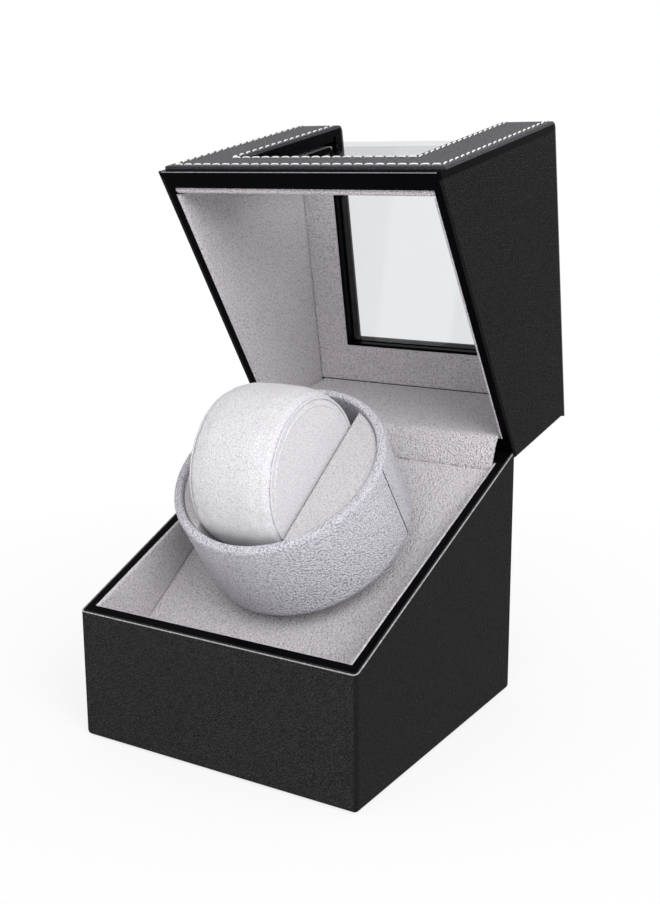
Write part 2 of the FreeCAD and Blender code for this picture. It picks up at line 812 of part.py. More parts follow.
def build_lid_boards():
    for side, sign in sides():
        low, high = side_range(BOARD_IN, BOARD_OUT, sign)
        outline = lid_wall(FLANGE_IN, REAR_OUT, TOP_IN)
        keep(add(new_body(f"lid_{side}_board", LID), "YZ", low, high, outline))
    rear = new_body("lid_rear_board", LID)
    add(rear, "YZ", -BOARD_IN, BOARD_IN, lid_wall(REAR_IN, REAR_OUT, TOP_IN))
    seat = oblong(
        -cell("leaf_width") - cell("slide_fit"),
        cell("knuckle_radius") / 2 + cell("slide_fit"),
        LID_PLANE - cell("leaf"),
        LID_PLANE + cell("leaf") + cell("slide_fit"),
    )
    for left, right in hinge_spans(cell("hinge_length") + cell("slide_fit") * 2):
        cut(rear, "YZ", left, right, seat, frame=RIM)
    top = LID_PLANE + cell("leaf") + cell("hinge_screw_length") + cell("slide_fit")
    cut(rear, "XY", LID_PLANE, top, *hinge_screws(SCREW_HOLE), frame=RIM)
    keep(rear)
    front = new_body("lid_front_frame", LID)
    add(front, "YZ", -HALF_WIDTH, HALF_WIDTH, lid_wall(FRONT_OUT, FLANGE_IN, TOP_OUT))
    add(front, "YZ", -BOARD_IN, BOARD_IN, lid_wall(FLANGE_IN, PLATE_IN, TOP_IN))
    cut_front_window(front, FRONT_OUT, PLATE_IN)
    half = PANE_HALF + cell("slide_fit")
    cut(front, "XZ", PANE_FRONT, PLATE_IN, oblong(-half, half, PANE_SILL - cell("slide_fit"), HEIGHT))
    keep(front)
    top = new_body("lid_top_frame", LID)
    add(top, "XY", TOP_IN, TOP_OUT, oblong(-BOARD_OUT, BOARD_OUT, FLANGE_IN, REAR_OUT))
    cut_top_window(top, TOP_IN, TOP_OUT)
    cut(top, "XY", TOP_IN, PANE_TOP, oblong(-half, half, FLANGE_IN, PANE_REAR + cell("slide_fit")))
    keep(top)


def build_window_pane():
    """One clear sheet bent over the lid's front edge, lying in the two frames' rebates."""
    pane = new_body("window_pane", LID)
    outline = Loop(
        (PANE_FRONT, PANE_SILL),
        (PLATE_IN, PANE_SILL),
        (PLATE_IN, TOP_IN),
        (PANE_REAR, TOP_IN),
        (PANE_REAR, PANE_TOP),
        (PANE_FRONT, PANE_TOP),
    )
    add(pane, "YZ", -PANE_HALF, PANE_HALF, outline)
    bend = cell("pane_bend")
    round_edges(pane, bend, lambda edge: is_crosswise(edge, PANE_FRONT, PANE_TOP))
    round_edges(pane, bend - cell("pane"), lambda edge: is_crosswise(edge, PLATE_IN, TOP_IN))
    keep(pane)


def build_window_bead():
    """The black bead round the window's inner edge that holds the pane in its rebate."""
    bead = new_body("window_bead", LID)
    width, bend = cell("window_bead"), cell("pane_bend")
    half = cell("window_half") + width
    outline = Loop(
        (PLATE_IN, cell("window_sill") - width),
        (FRONT_LINER_IN, cell("window_sill") - width),
        (FRONT_LINER_IN, TOP_LINER_IN),
        (WINDOW_REAR + width, TOP_LINER_IN),
        (WINDOW_REAR + width, TOP_IN),
        (PLATE_IN + bend, TOP_IN),
        (PLATE_IN, TOP_IN - bend),
    )
    add(bead, "YZ", -half, half, outline)
    cut_front_window(bead, PLATE_IN, FRONT_LINER_IN)
    cut_top_window(bead, TOP_LINER_IN, TOP_IN)
    keep(bead)


def is_crosswise(edge, y, z):
    """An edge along X at a given depth and height."""
    box = edge.BoundBox
    at_depth = near(box.YMin, y) and near(box.YMax, y)
    return at_depth and near(box.ZMin, z) and near(box.ZMax, z)


def is_lid_face_edge(edge):
    """An edge of the stitched leather's outer face, along its left or right side."""
    box = edge.BoundBox
    at_side = near(abs(box.XMin), HALF_WIDTH) and near(abs(box.XMax), HALF_WIDTH)
    corner = cell("lid_corner")
    on_front = near(box.YMax, -HALF_DEPTH)
    on_top = near(box.ZMin, HEIGHT)
    on_bend = near(box.YMax, corner - HALF_DEPTH) and near(box.ZMin, HEIGHT - corner)
    return at_side and (on_front or on_top or on_bend)


def build_lid_leather():
    face = new_body("lid_front_leather", LID)
    band = cell("front_band")
    outline = Loop(
        (-HALF_DEPTH, lid_edge(-HALF_DEPTH) + band),
        (FRONT_OUT, lid_edge(-HALF_DEPTH) + band),
        (FRONT_OUT, TOP_OUT),
        (HALF_DEPTH, TOP_OUT),
        (HALF_DEPTH, HEIGHT),
        (-HALF_DEPTH, HEIGHT),
    )
    add(face, "YZ", -HALF_WIDTH, HALF_WIDTH, outline)
    round_edges(face, cell("lid_corner"), lambda edge: is_crosswise(edge, -HALF_DEPTH, HEIGHT))
    round_edges(face, cell("leather_edge"), is_lid_face_edge)
    cut_front_window(face, -HALF_DEPTH, FRONT_OUT)
    cut_top_window(face, TOP_OUT, HEIGHT)
    keep(face)
    wrap = new_body("lid_leather", LID)
    add(wrap, "YZ", -HALF_WIDTH, HALF_WIDTH, lid_wall(FLANGE_IN, HALF_DEPTH, TOP_OUT))
    round_edges(wrap, cell("leather_round"), lambda edge: is_outer_upright(edge) and edge.BoundBox.YMin > 0)
    cut(wrap, "YZ", -BOARD_OUT, BOARD_OUT, oblong(FLANGE_IN, REAR_OUT, as_size(0), HEIGHT))
    keep(wrap)


def build_lid_linings():
    front = new_body("lid_front_liner", LID)
    add(front, "YZ", -BOARD_IN, BOARD_IN, lid_wall(PLATE_IN, FRONT_LINER_IN, TOP_IN))
    cut_front_window(front, PLATE_IN, FRONT_LINER_IN, cell("window_bead"))
    keep(front)
    top = new_body("lid_top_liner", LID)
    add(top, "XY", TOP_LINER_IN, TOP_IN, oblong(-BOARD_IN, BOARD_IN, FRONT_LINER_IN, REAR_IN))
    cut_top_window(top, TOP_LINER_IN, TOP_IN, cell("window_bead"))
    keep(top)
    for side, sign in sides():
        low, high = side_range(LINING_IN, BOARD_IN, sign)
        outline = lid_wall(FRONT_LINER_IN, REAR_IN, TOP_LINER_IN)
        keep(add(new_body(f"lid_{side}_lining", LID), "YZ", low, high, outline))
    outline = lid_wall(REAR_IN - cell("lining"), REAR_IN, TOP_LINER_IN)
    keep(add(new_body("lid_rear_lining", LID), "YZ", -LINING_IN, LINING_IN, outline))


def build_hinges():
    leaf, width = cell("leaf"), cell("leaf_width")
    knuckle = cell("knuckle_radius")
    bore = Ring(0, 0, cell("hinge_pin") + cell("slide_fit"))
    barrel = Ring(0, 0, knuckle)
    base = new_body("hinge_base_leaves", RIM)
    lid = new_body("hinge_lid_leaves", LID_RIM)
    pins = new_body("hinge_pins", RIM)
    neck = knuckle / 2
    middle = cell("lid_knuckle")
    for left, right in hinge_spans(cell("hinge_length")):
        centre = (left + right) / 2
        room = middle / 2 + cell("run_fit")
        add(base, "YZ", left, right, oblong(-width, -KNUCKLE_ROOM, BASE_PLANE - leaf, BASE_PLANE))
        for low, high in ((left, centre - room), (centre + room, right)):
            add(base, "YZ", low, high, oblong(-KNUCKLE_ROOM, as_size(0), BASE_PLANE - leaf, BASE_PLANE))
            add(base, "YZ", low, high, barrel)
            cut(base, "YZ", low, high, bore)
        add(lid, "YZ", left, right, oblong(-width, neck, LID_PLANE, LID_PLANE + leaf))
        low, high = centre - middle / 2, centre + middle / 2
        add(lid, "YZ", low, high, oblong(-neck, neck, as_size(0), LID_PLANE + leaf))
        add(lid, "YZ", low, high, barrel)
        cut(lid, "YZ", low, high, bore)
        add(pins, "YZ", left, right, Ring(0, 0, cell("hinge_pin")))
    head = cell("hinge_head")
    cut(base, "XY", BASE_PLANE - leaf, BASE_PLANE, *hinge_screws(SCREW_HOLE))
    cut(base, "XY", BASE_PLANE - head, BASE_PLANE, *hinge_screws(HEAD_HOLE))
    cut(lid, "XY", LID_PLANE, LID_PLANE + leaf, *hinge_screws(SCREW_HOLE))
    cut(lid, "XY", LID_PLANE, LID_PLANE + head, *hinge_screws(HEAD_HOLE))
    length = cell("hinge_screw_length")
    driven = new_body("hinge_base_screws", RIM)
    add(driven, "XY", BASE_PLANE - head, BASE_PLANE, *hinge_screws(cell("hinge_head_radius")))
    shank_end = BASE_PLANE - leaf - length
    add(driven, "XY", shank_end, BASE_PLANE - head, *hinge_screws(cell("hinge_screw_radius")))
    lifted = new_body("hinge_lid_screws", LID_RIM)
    add(lifted, "XY", LID_PLANE, LID_PLANE + head, *hinge_screws(cell("hinge_head_radius")))
    shank_end = LID_PLANE + leaf + length
    add(lifted, "XY", LID_PLANE + head, shank_end, *hinge_screws(cell("hinge_screw_radius")))
    for item in (base, lid, pins, driven, lifted):
        keep(item)


CUP_TOP = named("cup_top", cell("cup_gap") + cell("cup_depth"))
SHELL_OUT = named("shell_out", cell("cup_radius") - cell("cup_sleeve"))
SHELL_IN = named("shell_in", SHELL_OUT - cell("cup_wall"))
CUP_FLOOR_TOP = named("cup_floor_top", cell("cup_gap") + cell("cup_floor"))
WASHER_TOP = named("washer_top", cell("bush_rise") + cell("washer"))
HUB_BOTTOM = named("hub_bottom", WASHER_TOP + cell("slide_fit"))
GEAR_TOP = named("gear_top", BOARD_BOTTOM - cell("gear_drop"))
GEAR_BOTTOM = named("gear_bottom", GEAR_TOP - cell("gear_width"))
BRACKET_TOP = named("bracket_top", BOARD_BOTTOM - cell("bracket_drop"))
BRACKET_BOTTOM = named("bracket_bottom", BRACKET_TOP - cell("bracket"))
CLIP_TOP = named("clip_top", BRACKET_BOTTOM - cell("slide_fit") * 2)
CLIP_BOTTOM = named("clip_bottom", CLIP_TOP - cell("clip"))
HEAD_SEAT = named("head_seat", CUP_FLOOR_TOP - cell("hub_head") - cell("slide_fit"))
PINION_X = named(
    "pinion_x",
    cell("gear_module") * (cell("gear_teeth") + cell("pinion_teeth")) / 2 + cell("slide_fit"),
)


def build_cup():
    middle = as_size(0)
    shell = new_body("cup_shell", DECK)
    bevel = cell("cup_round")
    spin(
        shell,
        (middle, cell("cup_gap")),
        (SHELL_OUT - bevel, cell("cup_gap")),
        (SHELL_OUT, cell("cup_gap") + bevel),
        (SHELL_OUT, CUP_TOP - cell("cup_sleeve")),
        (SHELL_IN, CUP_TOP - cell("cup_sleeve")),
        (SHELL_IN, CUP_FLOOR_TOP),
        (middle, CUP_FLOOR_TOP),
    )
    screw_hole = cell("hub_screw_radius") + cell("slide_fit")
    cut(shell, "XY", cell("cup_gap"), CUP_FLOOR_TOP, Ring(0, 0, screw_hole))
    cut(shell, "XY", HEAD_SEAT, CUP_FLOOR_TOP, Ring(0, 0, cell("hub_head_radius") + cell("slide_fit")))
    keep(shell)
    sleeve = new_body("cup_sleeve", DECK)
    spin(
        sleeve,
        (SHELL_OUT, cell("cup_gap") + bevel),
        (cell("cup_radius"), cell("cup_gap") + bevel),
        (cell("cup_radius"), CUP_TOP),
        (SHELL_IN, CUP_TOP),
        (SHELL_IN, CUP_TOP - cell("cup_sleeve")),
        (SHELL_OUT, CUP_TOP - cell("cup_sleeve")),
    )
    lip = cell("cup_sleeve") * cell("lip_share")
    round_edges(sleeve, lip, lambda edge: near(edge.BoundBox.ZMin, CUP_TOP))
    keep(sleeve)
    for side, sign in sides():
        cheek = new_body(f"cup_{side}_cheek", DECK)
        outline = Segment(cell("slot_half"), SHELL_IN - cell("slide_fit"), sign)
        add(cheek, "XY", CUP_FLOOR_TOP, CUP_TOP - cell("cheek_drop"), outline)
        keep(cheek)


def build_cushion():
    """A drum lying across the cup: a crowned band drawn in towards its two ends."""
    radius = cell("cushion_radius").value
    half = cell("cushion_width").value / 2
    shoulder = cell("cushion_shoulder").value
    crown = cell("cushion_crown").value
    middle_y = -cell("cushion_shift").value
    middle_z = (CUP_TOP + cell("cushion_rise")).value
    sections = []
    for row in range(CUSHION_ROWS):
        turn = math.pi * (row / (CUSHION_ROWS - 1) - 0.5)
        swell = math.sqrt(max(math.cos(turn), 0.0))
        station = half * math.copysign(math.sqrt(abs(math.sin(turn))), turn)
        ring = radius - crown - shoulder * (1 - swell) + crown * math.cos(turn)
        sections.append(four_arcs(station, middle_y, middle_z, ring))
    keep(plain_feature("cushion", Part.makeLoft(sections, True, False), DECK))


def four_arcs(x, y, z, radius):
    """A circle across X as a wire of four quarter arcs."""
    def at(angle):
        return FreeCAD.Vector(x, y + radius * math.cos(angle), z + radius * math.sin(angle))

    quarter = math.pi / 2
    arcs = [Part.Arc(at(k * quarter), at((k + 0.5) * quarter), at((k + 1) * quarter)) for k in range(4)]
    return Part.Wire([arc.toShape() for arc in arcs])


def build_spindle():
    bore = cell("spindle_radius") + cell("slide_fit")
    hub = new_body("cup_hub", DECK)
    add(hub, "XY", HUB_BOTTOM, cell("cup_gap"), Ring(0, 0, cell("hub_radius")), Ring(0, 0, bore))
    keep(hub)
    spindle = new_body("spindle", DECK)
    add(spindle, "XY", CLIP_BOTTOM, cell("cup_gap"), Ring(0, 0, cell("spindle_radius")))
    screw_end = HEAD_SEAT - cell("hub_screw_length")
    tapped = cell("hub_screw_radius") + cell("slide_fit")
    cut(spindle, "XY", screw_end - cell("slide_fit"), cell("cup_gap"), Ring(0, 0, tapped))
    keep(spindle)
    screw = new_body("hub_screw", DECK)
    add(screw, "XY", screw_end, HEAD_SEAT, Ring(0, 0, cell("hub_screw_radius")))
    add(screw, "XY", HEAD_SEAT, HEAD_SEAT + cell("hub_head"), Ring(0, 0, cell("hub_head_radius")))
    keep(screw)
    clip = new_body("spindle_clip", DECK)
    rim = bore + cell("clip_width")
    add(clip, "XY", CLIP_BOTTOM, CLIP_TOP, Ring(0, 0, rim), Ring(0, 0, bore))
    keep(clip)
    bush = new_body("spindle_bush", DECK)
    flange = BUSH_RADIUS + cell("bush_flange")
    flange_bottom = BOARD_BOTTOM - cell("bush_flange_depth")
    spin(
        bush,
        (bore, flange_bottom),
        (flange, flange_bottom),
        (flange, BOARD_BOTTOM),
        (BUSH_RADIUS, BOARD_BOTTOM),
        (BUSH_RADIUS, cell("bush_rise")),
        (bore, cell("bush_rise")),
    )
    keep(bush)
    washer = new_body("thrust_washer", DECK)
    rim = bore + cell("washer_width")
    add(washer, "XY", cell("bush_rise"), WASHER_TOP, Ring(0, 0, rim), Ring(0, 0, bore))
    keep(washer)


def tooth_outline(teeth, phase):
    """Corners of a spur gear with involute flanks, thinned by half the backlash on each wheel."""
    module = cell("gear_module").value
    pressure = math.radians(cell("gear_pressure").value)
    pitch = module * teeth / 2
    base = pitch * math.cos(pressure)
    root_radius = pitch - cell("gear_dedendum").value * module
    tip = pitch + cell("gear_addendum").value * module
    thickness = math.pi * module / 2 - cell("backlash").value / 2
    start = max(base, root_radius)
    flank = [root_radius] if root_radius < base else []
    flank += [start + (tip - start) * step / FLANK_STEPS for step in range(FLANK_STEPS + 1)]

    def half_angle(radius):
        roll = math.acos(min(base / radius, 1.0))
        return thickness / (2 * pitch) + involute(pressure) - involute(roll)

    corners = []
    for tooth in range(int(teeth)):
        middle = phase + 2 * math.pi * tooth / teeth
        rising = [(radius, middle - half_angle(radius)) for radius in flank]
        falling = [(radius, middle + half_angle(radius)) for radius in reversed(flank)]
        corners += rising + falling
    return [FreeCAD.Vector(r * math.cos(a), r * math.sin(a), 0) for r, a in corners]


def involute(angle):
    return math.tan(angle) - angle


def spur_gear(teeth, phase, bore, bottom, top, x):
    """A spur gear with a plain bore, standing at x along the deck."""
    foot = FreeCAD.Vector(x, 0, bottom)
    corners = [foot + corner for corner in tooth_outline(teeth, phase)]
    face = Part.Face(Part.makePolygon(corners + corners[:1]))
    blank = face.extrude(FreeCAD.Vector(0, 0, top - bottom))
    return blank.cut(Part.makeCylinder(bore, top - bottom, foot))


def build_gears():
    """The wheel has a tooth towards the pinion, and the pinion a gap towards the wheel."""
    fit = cell("slide_fit").value
    teeth = round(cell("gear_teeth").value)
    leaves = round(cell("pinion_teeth").value)
    bore = cell("spindle_radius").value + fit
    wheel = spur_gear(teeth, 0.0, bore, GEAR_BOTTOM.value, GEAR_TOP.value, 0.0)
    keep(plain_feature("output_gear", wheel, DECK))
    over = cell("pinion_overhang").value
    phase = math.pi + math.pi / leaves
    shaft = cell("motor_shaft").value + fit
    bottom, top = GEAR_BOTTOM.value - over, GEAR_TOP.value + over
    pinion = spur_gear(leaves, phase, shaft, bottom, top, PINION_X.value)
    keep(plain_feature("motor_pinion", pinion, DECK))


def bracket_corners():
    """Middle of each standoff under the deck, as (x, y)."""
    inset = cell("standoff_inset")
    for x in (inset - cell("bracket_left"), cell("bracket_right") - inset):
        for sign in (-1, 1):
            yield x, (cell("bracket_half") - inset) * sign


def build_motor():
    corners = list(bracket_corners())
    hole = cell("bracket_screw_radius") + cell("slide_fit")
    bore = cell("spindle_radius") + cell("slide_fit")
    half = cell("bracket_half")
    shaft_room = cell("motor_shaft") + cell("run_fit")
    bracket = new_body("motor_bracket", DECK)
    plate = oblong(-cell("bracket_left"), cell("bracket_right"), -half, half)
    add(bracket, "XY", BRACKET_BOTTOM, BRACKET_TOP, plate)
    openings = [Ring(x, y, hole) for x, y in corners]
    openings += [Ring(0, 0, bore), Ring(PINION_X, 0, shaft_room)]
    cut(bracket, "XY", BRACKET_BOTTOM, BRACKET_TOP, *openings)
    keep(bracket)
    standoffs = new_body("bracket_standoffs", DECK)
    tubes = [Ring(x, y, cell("standoff_radius")) for x, y in corners]
    add(standoffs, "XY", BRACKET_TOP, BOARD_BOTTOM, *tubes)
    cut(standoffs, "XY", BRACKET_TOP, BOARD_BOTTOM, *[Ring(x, y, hole) for x, y in corners])
    keep(standoffs)
    screws = new_body("bracket_screws", DECK)
    head = BRACKET_BOTTOM - cell("bracket_head")
    add(screws, "XY", head, BRACKET_BOTTOM, *[Ring(x, y, cell("bracket_head_radius")) for x, y in corners])
    shanks = [Ring(x, y, cell("bracket_screw_radius")) for x, y in corners]
    add(screws, "XY", BRACKET_BOTTOM, BOARD_TOP, *shanks)
    keep(screws)
    case_bottom = BRACKET_BOTTOM - cell("gearbox_length")
    case = new_body("gearbox", DECK)
    add(case, "XY", case_bottom, BRACKET_BOTTOM, Ring(PINION_X, 0, cell("gearbox_radius")))
    shaft_seat = BRACKET_BOTTOM - cell("gearbox_length") / 2
    cut(case, "XY", shaft_seat, BRACKET_BOTTOM, Ring(PINION_X, 0, cell("motor_shaft") + cell("slide_fit")))
    keep(case)
    can = new_body("motor_can", DECK)
    add(can, "XY", case_bottom - cell("motor_length"), case_bottom, Ring(PINION_X, 0, cell("motor_radius")))
    keep(can)
    shaft = new_body("gearbox_shaft", DECK)
    shaft_top = GEAR_TOP + cell("pinion_overhang")
    add(shaft, "XY", shaft_seat + cell("slide_fit"), shaft_top, Ring(PINION_X, 0, cell("motor_shaft")))
    keep(shaft)


PCB_BOTTOM = named("pcb_bottom", FLOOR_TOP + cell("pcb_stand"))
PCB_TOP = named("pcb_top", PCB_BOTTOM + cell("pcb"))
PCB_LEFT = named("pcb_left", cell("pcb_side_gap") - BOARD_IN)
PCB_RIGHT = named("pcb_right", PCB_LEFT + cell("pcb_width"))
PCB_FRONT = named("pcb_front", FRONT_IN + cell("pcb_front_gap"))
PCB_REAR = named("pcb_rear", PCB_FRONT + cell("pcb_length"))


def build_control_board():
    inset = cell("pcb_post_inset")
    places = [
        (x, y)
        for x in (PCB_LEFT + inset, PCB_RIGHT - inset)
        for y in (PCB_FRONT + inset, PCB_REAR - inset)
    ]
    posts = new_body("board_posts")
    add(posts, "XY", FLOOR_TOP, PCB_BOTTOM, *[Ring(x, y, cell("pcb_post_radius")) for x, y in places])
    keep(posts)
    board = new_body("control_board")
    add(board, "XY", PCB_BOTTOM, PCB_TOP, oblong(PCB_LEFT, PCB_RIGHT, PCB_FRONT, PCB_REAR))
    middle_x = (PCB_LEFT + PCB_RIGHT) / 2
    middle_y = (PCB_FRONT + PCB_REAR) / 2
    half = cell("chip_side") / 2
    chip = oblong(middle_x - half, middle_x + half, middle_y - half, middle_y + half)
    add(board, "XY", PCB_TOP, PCB_TOP + cell("chip_height"), chip)
    terminal_top = PCB_TOP + cell("terminal_height")
    reach = cell("terminal_width") / 2
    back = PCB_REAR - cell("terminal_depth")
    for middle in terminal_middles():
        add(board, "XY", PCB_TOP, terminal_top, oblong(middle - reach, middle + reach, back, PCB_REAR))
    keep(board)


def terminal_middles():
    """Middle of each wire terminal along the control board's rear edge."""
    inset = cell("pcb_post_inset") + cell("terminal_width") / 2
    yield PCB_LEFT + inset
    yield PCB_RIGHT - inset


def build_rear_fittings():
    jack = new_body("power_jack")
    rear = HALF_DEPTH + cell("jack_flange_depth")
    add(jack, "XZ", HALF_DEPTH - cell("jack_length"), HALF_DEPTH, jack_ring(cell("jack_radius")))
    add(jack, "XZ", HALF_DEPTH, rear, jack_ring(cell("jack_flange")))
    bottom = rear - cell("jack_bore_depth")
    cut(jack, "XZ", bottom, rear, jack_ring(cell("jack_bore")), jack_ring(cell("jack_pin")))
    keep(jack)
    face = HALF_DEPTH + cell("switch_flange")
    housing = new_body("switch_housing")
    add(housing, "XZ", HALF_DEPTH - cell("switch_depth"), HALF_DEPTH, switch_outline(as_size(0)))
    add(housing, "XZ", HALF_DEPTH, face, switch_outline(cell("switch_flange_lap")))
    middle, height = cell("switch_x"), cell("rear_height")
    half_width = cell("rocker_half_width") + cell("run_fit")
    half_height = cell("rocker_half_height") + cell("rocker_gap")
    well = oblong(middle - half_width, middle + half_width, height - half_height, height + half_height)
    floor = ROCKER_Y - cell("rocker_half_height")
    cut(housing, "XZ", floor, face, well)
    reach = cell("rocker_half_width") + cell("trunnion_length") + cell("run_fit")
    hole = Ring(ROCKER_Y, height, cell("trunnion_radius") + cell("slide_fit"))
    cut(housing, "YZ", middle - reach, middle + reach, hole)
    keep(housing)


ROCKER_Y = named("rocker_y", HALF_DEPTH - cell("rocker_sink"))
ROCKER = Frame(ROCKER_Y, cell("rear_height"), cell("rocker_tilt"), as_size(1), as_size(0))


def build_rocker():
    """The switch's paddle, tipped about its trunnions to the off side."""
    rocker = new_body("power_rocker", ROCKER)
    half = cell("rocker_half_height")
    foot, rise = -cell("rocker_foot"), cell("rocker_rise")
    outline = Loop((foot, -half), (rise, -half), (rise - cell("rocker_dip"), 0), (rise, half), (foot, half))
    width = cell("rocker_half_width")
    middle = cell("switch_x")
    add(rocker, "YZ", middle - width, middle + width, outline)
    reach = width + cell("trunnion_length")
    add(rocker, "YZ", middle - reach, middle + reach, Ring(0, 0, cell("trunnion_radius")))
    keep(rocker)


def lead(label, points):
    """A wire as straight runs joined by tangent arcs, each as large as its two runs allow."""
    radius = cell("lead_radius").value
    edges = []
    at = points[0]
    for before, corner, after in zip(points, points[1:], points[2:]):
        came, goes = (before - corner), (after - corner)
        trim = cell("lead_trim").value * min(came.Length, goes.Length)
        enter = corner + came.normalize() * trim
        leave = corner + goes.normalize() * trim
        bisector = (enter + leave) / 2 - corner
        half_turn = math.pi / 2 - (enter - corner).getAngle(bisector)
        bend = trim / math.tan(half_turn)
        centre = corner + bisector.normalize() * (bend / math.cos(half_turn))
        middle = centre - bisector * bend
        edges.append(Part.LineSegment(at, enter).toShape())
        edges.append(Part.Arc(enter, middle, leave).toShape())
        at = leave
    edges.append(Part.LineSegment(at, points[-1]).toShape())
    path = Part.Wire(edges)
    section = Part.Wire([Part.makeCircle(radius, points[0], points[1] - points[0])])
    tube = path.makePipeShell([section], True, False)
    keep(plain_feature(label, tube))


def build_leads():
    """The wires from the motor and from the switch to the control board's terminals."""
    fit = cell("slide_fit").value
    left, right = [middle.value for middle in terminal_middles()]
    level = PCB_TOP.value + cell("terminal_height").value / 2
    rear = PCB_REAR.value + fit
    tail = BRACKET_BOTTOM - cell("gearbox_length") - cell("motor_length")
    motor_y, motor_z = DECK.out(as_size(0), tail - cell("slide_fit"))
    away_y, away_z = DECK.out(as_size(0), tail - cell("motor_radius"))
    motor = FreeCAD.Vector(PINION_X.value, motor_y.value, motor_z.value)
    below = FreeCAD.Vector(PINION_X.value, away_y.value, away_z.value)
    sway = cell("motor_lead_sway").value
    across = FreeCAD.Vector((below.x + right) / 2, below.y - sway, level)
    ahead = FreeCAD.Vector(right, rear + cell("motor_lead_run").value, level)
    lead("motor_lead", [motor, below, across, ahead, FreeCAD.Vector(right, rear, level)])
    inside = HALF_DEPTH.value - cell("switch_depth").value - fit
    switch = FreeCAD.Vector(cell("switch_x").value, inside, cell("rear_height").value)
    run = FreeCAD.Vector(0, cell("switch_lead_run").value, 0)
    end = FreeCAD.Vector(left, rear, level)
    middle = (switch + end) / 2 + FreeCAD.Vector(0, cell("switch_lead_sway").value, 0)
    lead("switch_lead", [switch, switch - run, middle, end + run, end])


build_base_boards()
build_base_leather()
build_floor()
build_deck()
build_base_linings()
build_hinge_gusset()
build_lid_boards()
build_window_pane()
build_window_bead()
build_lid_leather()
build_lid_linings()
build_hinges()
build_cup()
build_cushion()
build_spindle()
build_gears()
build_motor()
build_control_board()
build_rear_fittings()
build_rocker()
build_leads()
document.recompute()

for item in document.Objects:
    if "Invalid" in item.State or "Error" in item.State:
        raise RuntimeError(f"{item.Label} could not be made: {item.State}")
for piece in pieces:
    if piece.Shape.isNull() or not piece.Shape.isValid() or not piece.Shape.Solids:
        raise RuntimeError(f"{piece.Label} is not a valid solid")

os.makedirs("parts", exist_ok=True)
for piece in pieces:
    piece.Shape.exportStep(os.path.join("parts", f"{piece.Label}.step"))
    print(f"{piece.Label}: {len(piece.Shape.Solids)} solid(s), {piece.Shape.Volume:.1f} mm3")
print(f"{len(pieces)} nodes")
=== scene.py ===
"""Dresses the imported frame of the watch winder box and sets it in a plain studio.

Sizes are in millimetres, as in the CAD source, and become metres where a mesh is made.
"""

import logging
import math
from dataclasses import dataclass
from enum import Enum
from typing import ClassVar, Mapping, Optional, Sequence, Union

import bpy
import numpy as np
from mathutils import Matrix, Vector
from mathutils.geometry import delaunay_2d_cdt


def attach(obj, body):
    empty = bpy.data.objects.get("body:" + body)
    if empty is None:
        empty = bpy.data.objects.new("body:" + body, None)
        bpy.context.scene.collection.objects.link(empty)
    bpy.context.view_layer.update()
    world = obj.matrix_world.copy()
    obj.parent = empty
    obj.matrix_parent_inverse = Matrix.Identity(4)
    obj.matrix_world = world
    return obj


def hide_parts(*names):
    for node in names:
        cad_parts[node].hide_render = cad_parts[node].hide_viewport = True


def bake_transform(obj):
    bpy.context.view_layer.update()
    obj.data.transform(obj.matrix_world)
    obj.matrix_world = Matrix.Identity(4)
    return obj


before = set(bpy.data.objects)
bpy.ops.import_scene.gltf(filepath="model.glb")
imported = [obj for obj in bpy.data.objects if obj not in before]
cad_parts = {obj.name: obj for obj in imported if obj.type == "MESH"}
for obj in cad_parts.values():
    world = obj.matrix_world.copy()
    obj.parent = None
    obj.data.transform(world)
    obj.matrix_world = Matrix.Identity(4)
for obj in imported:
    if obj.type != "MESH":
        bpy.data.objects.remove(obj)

log = logging.getLogger("watch_winder_box")

Array = np.ndarray
Number = Union[float, Array]
Colour = tuple[float, float, float]
Point = tuple[float, float, float]
Pair = tuple[float, float]

MM = 0.001
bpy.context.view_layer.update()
SIDES = (("left", -1.0), ("right", 1.0))
WHITE = (1.0, 1.0, 1.0, 1.0)
NOISE_MEAN = 0.5
TINY = 1e-9


class Body(str, Enum):
    """The moving bodies that new pieces ride on."""

    BASE = "base"
    LID = "lid"
    CUP = "cup"
    CUSHION = "cushion"


class Across(Enum):
    """The axis that a panel's thickness runs along."""

    X = "x"
    Y = "y"
    Z = "z"


class Cells(Enum):
    """What a pattern of cells measures, and by which kind of distance."""

    CREASES = ("DISTANCE_TO_EDGE", "EUCLIDEAN")
    MIDDLES = ("F1", "EUCLIDEAN")
    SQUARES = ("F1", "CHEBYCHEV")


@dataclass(frozen=True)
class Place:
    """A frame turned about the X axis.

    A local point is measured from one centre, turned, and set down about another.
    """

    y: float = 0.0
    z: float = 0.0
    degrees: float = 0.0
    from_y: float = 0.0
    from_z: float = 0.0

    def out(self, points: Array) -> Array:
        """Turns local points into the shared frame.

        Args:
            points: Local points, with x, y and z on the last axis.

        Returns:
            The same points in the shared frame.
        """
        turn = math.radians(self.degrees)
        y = points[..., 1] - self.from_y
        z = points[..., 2] - self.from_z
        turned_y = self.y + y * math.cos(turn) - z * math.sin(turn)
        turned_z = self.z + y * math.sin(turn) + z * math.cos(turn)
        return np.stack((points[..., 0], turned_y, turned_z), axis=-1)


UPRIGHT = Place()
DECK = Place(y=9.7, z=64.848, degrees=34.991)
LID = Place(y=60.5, z=98.5, degrees=-80.0, from_y=60.5, from_z=98.5)


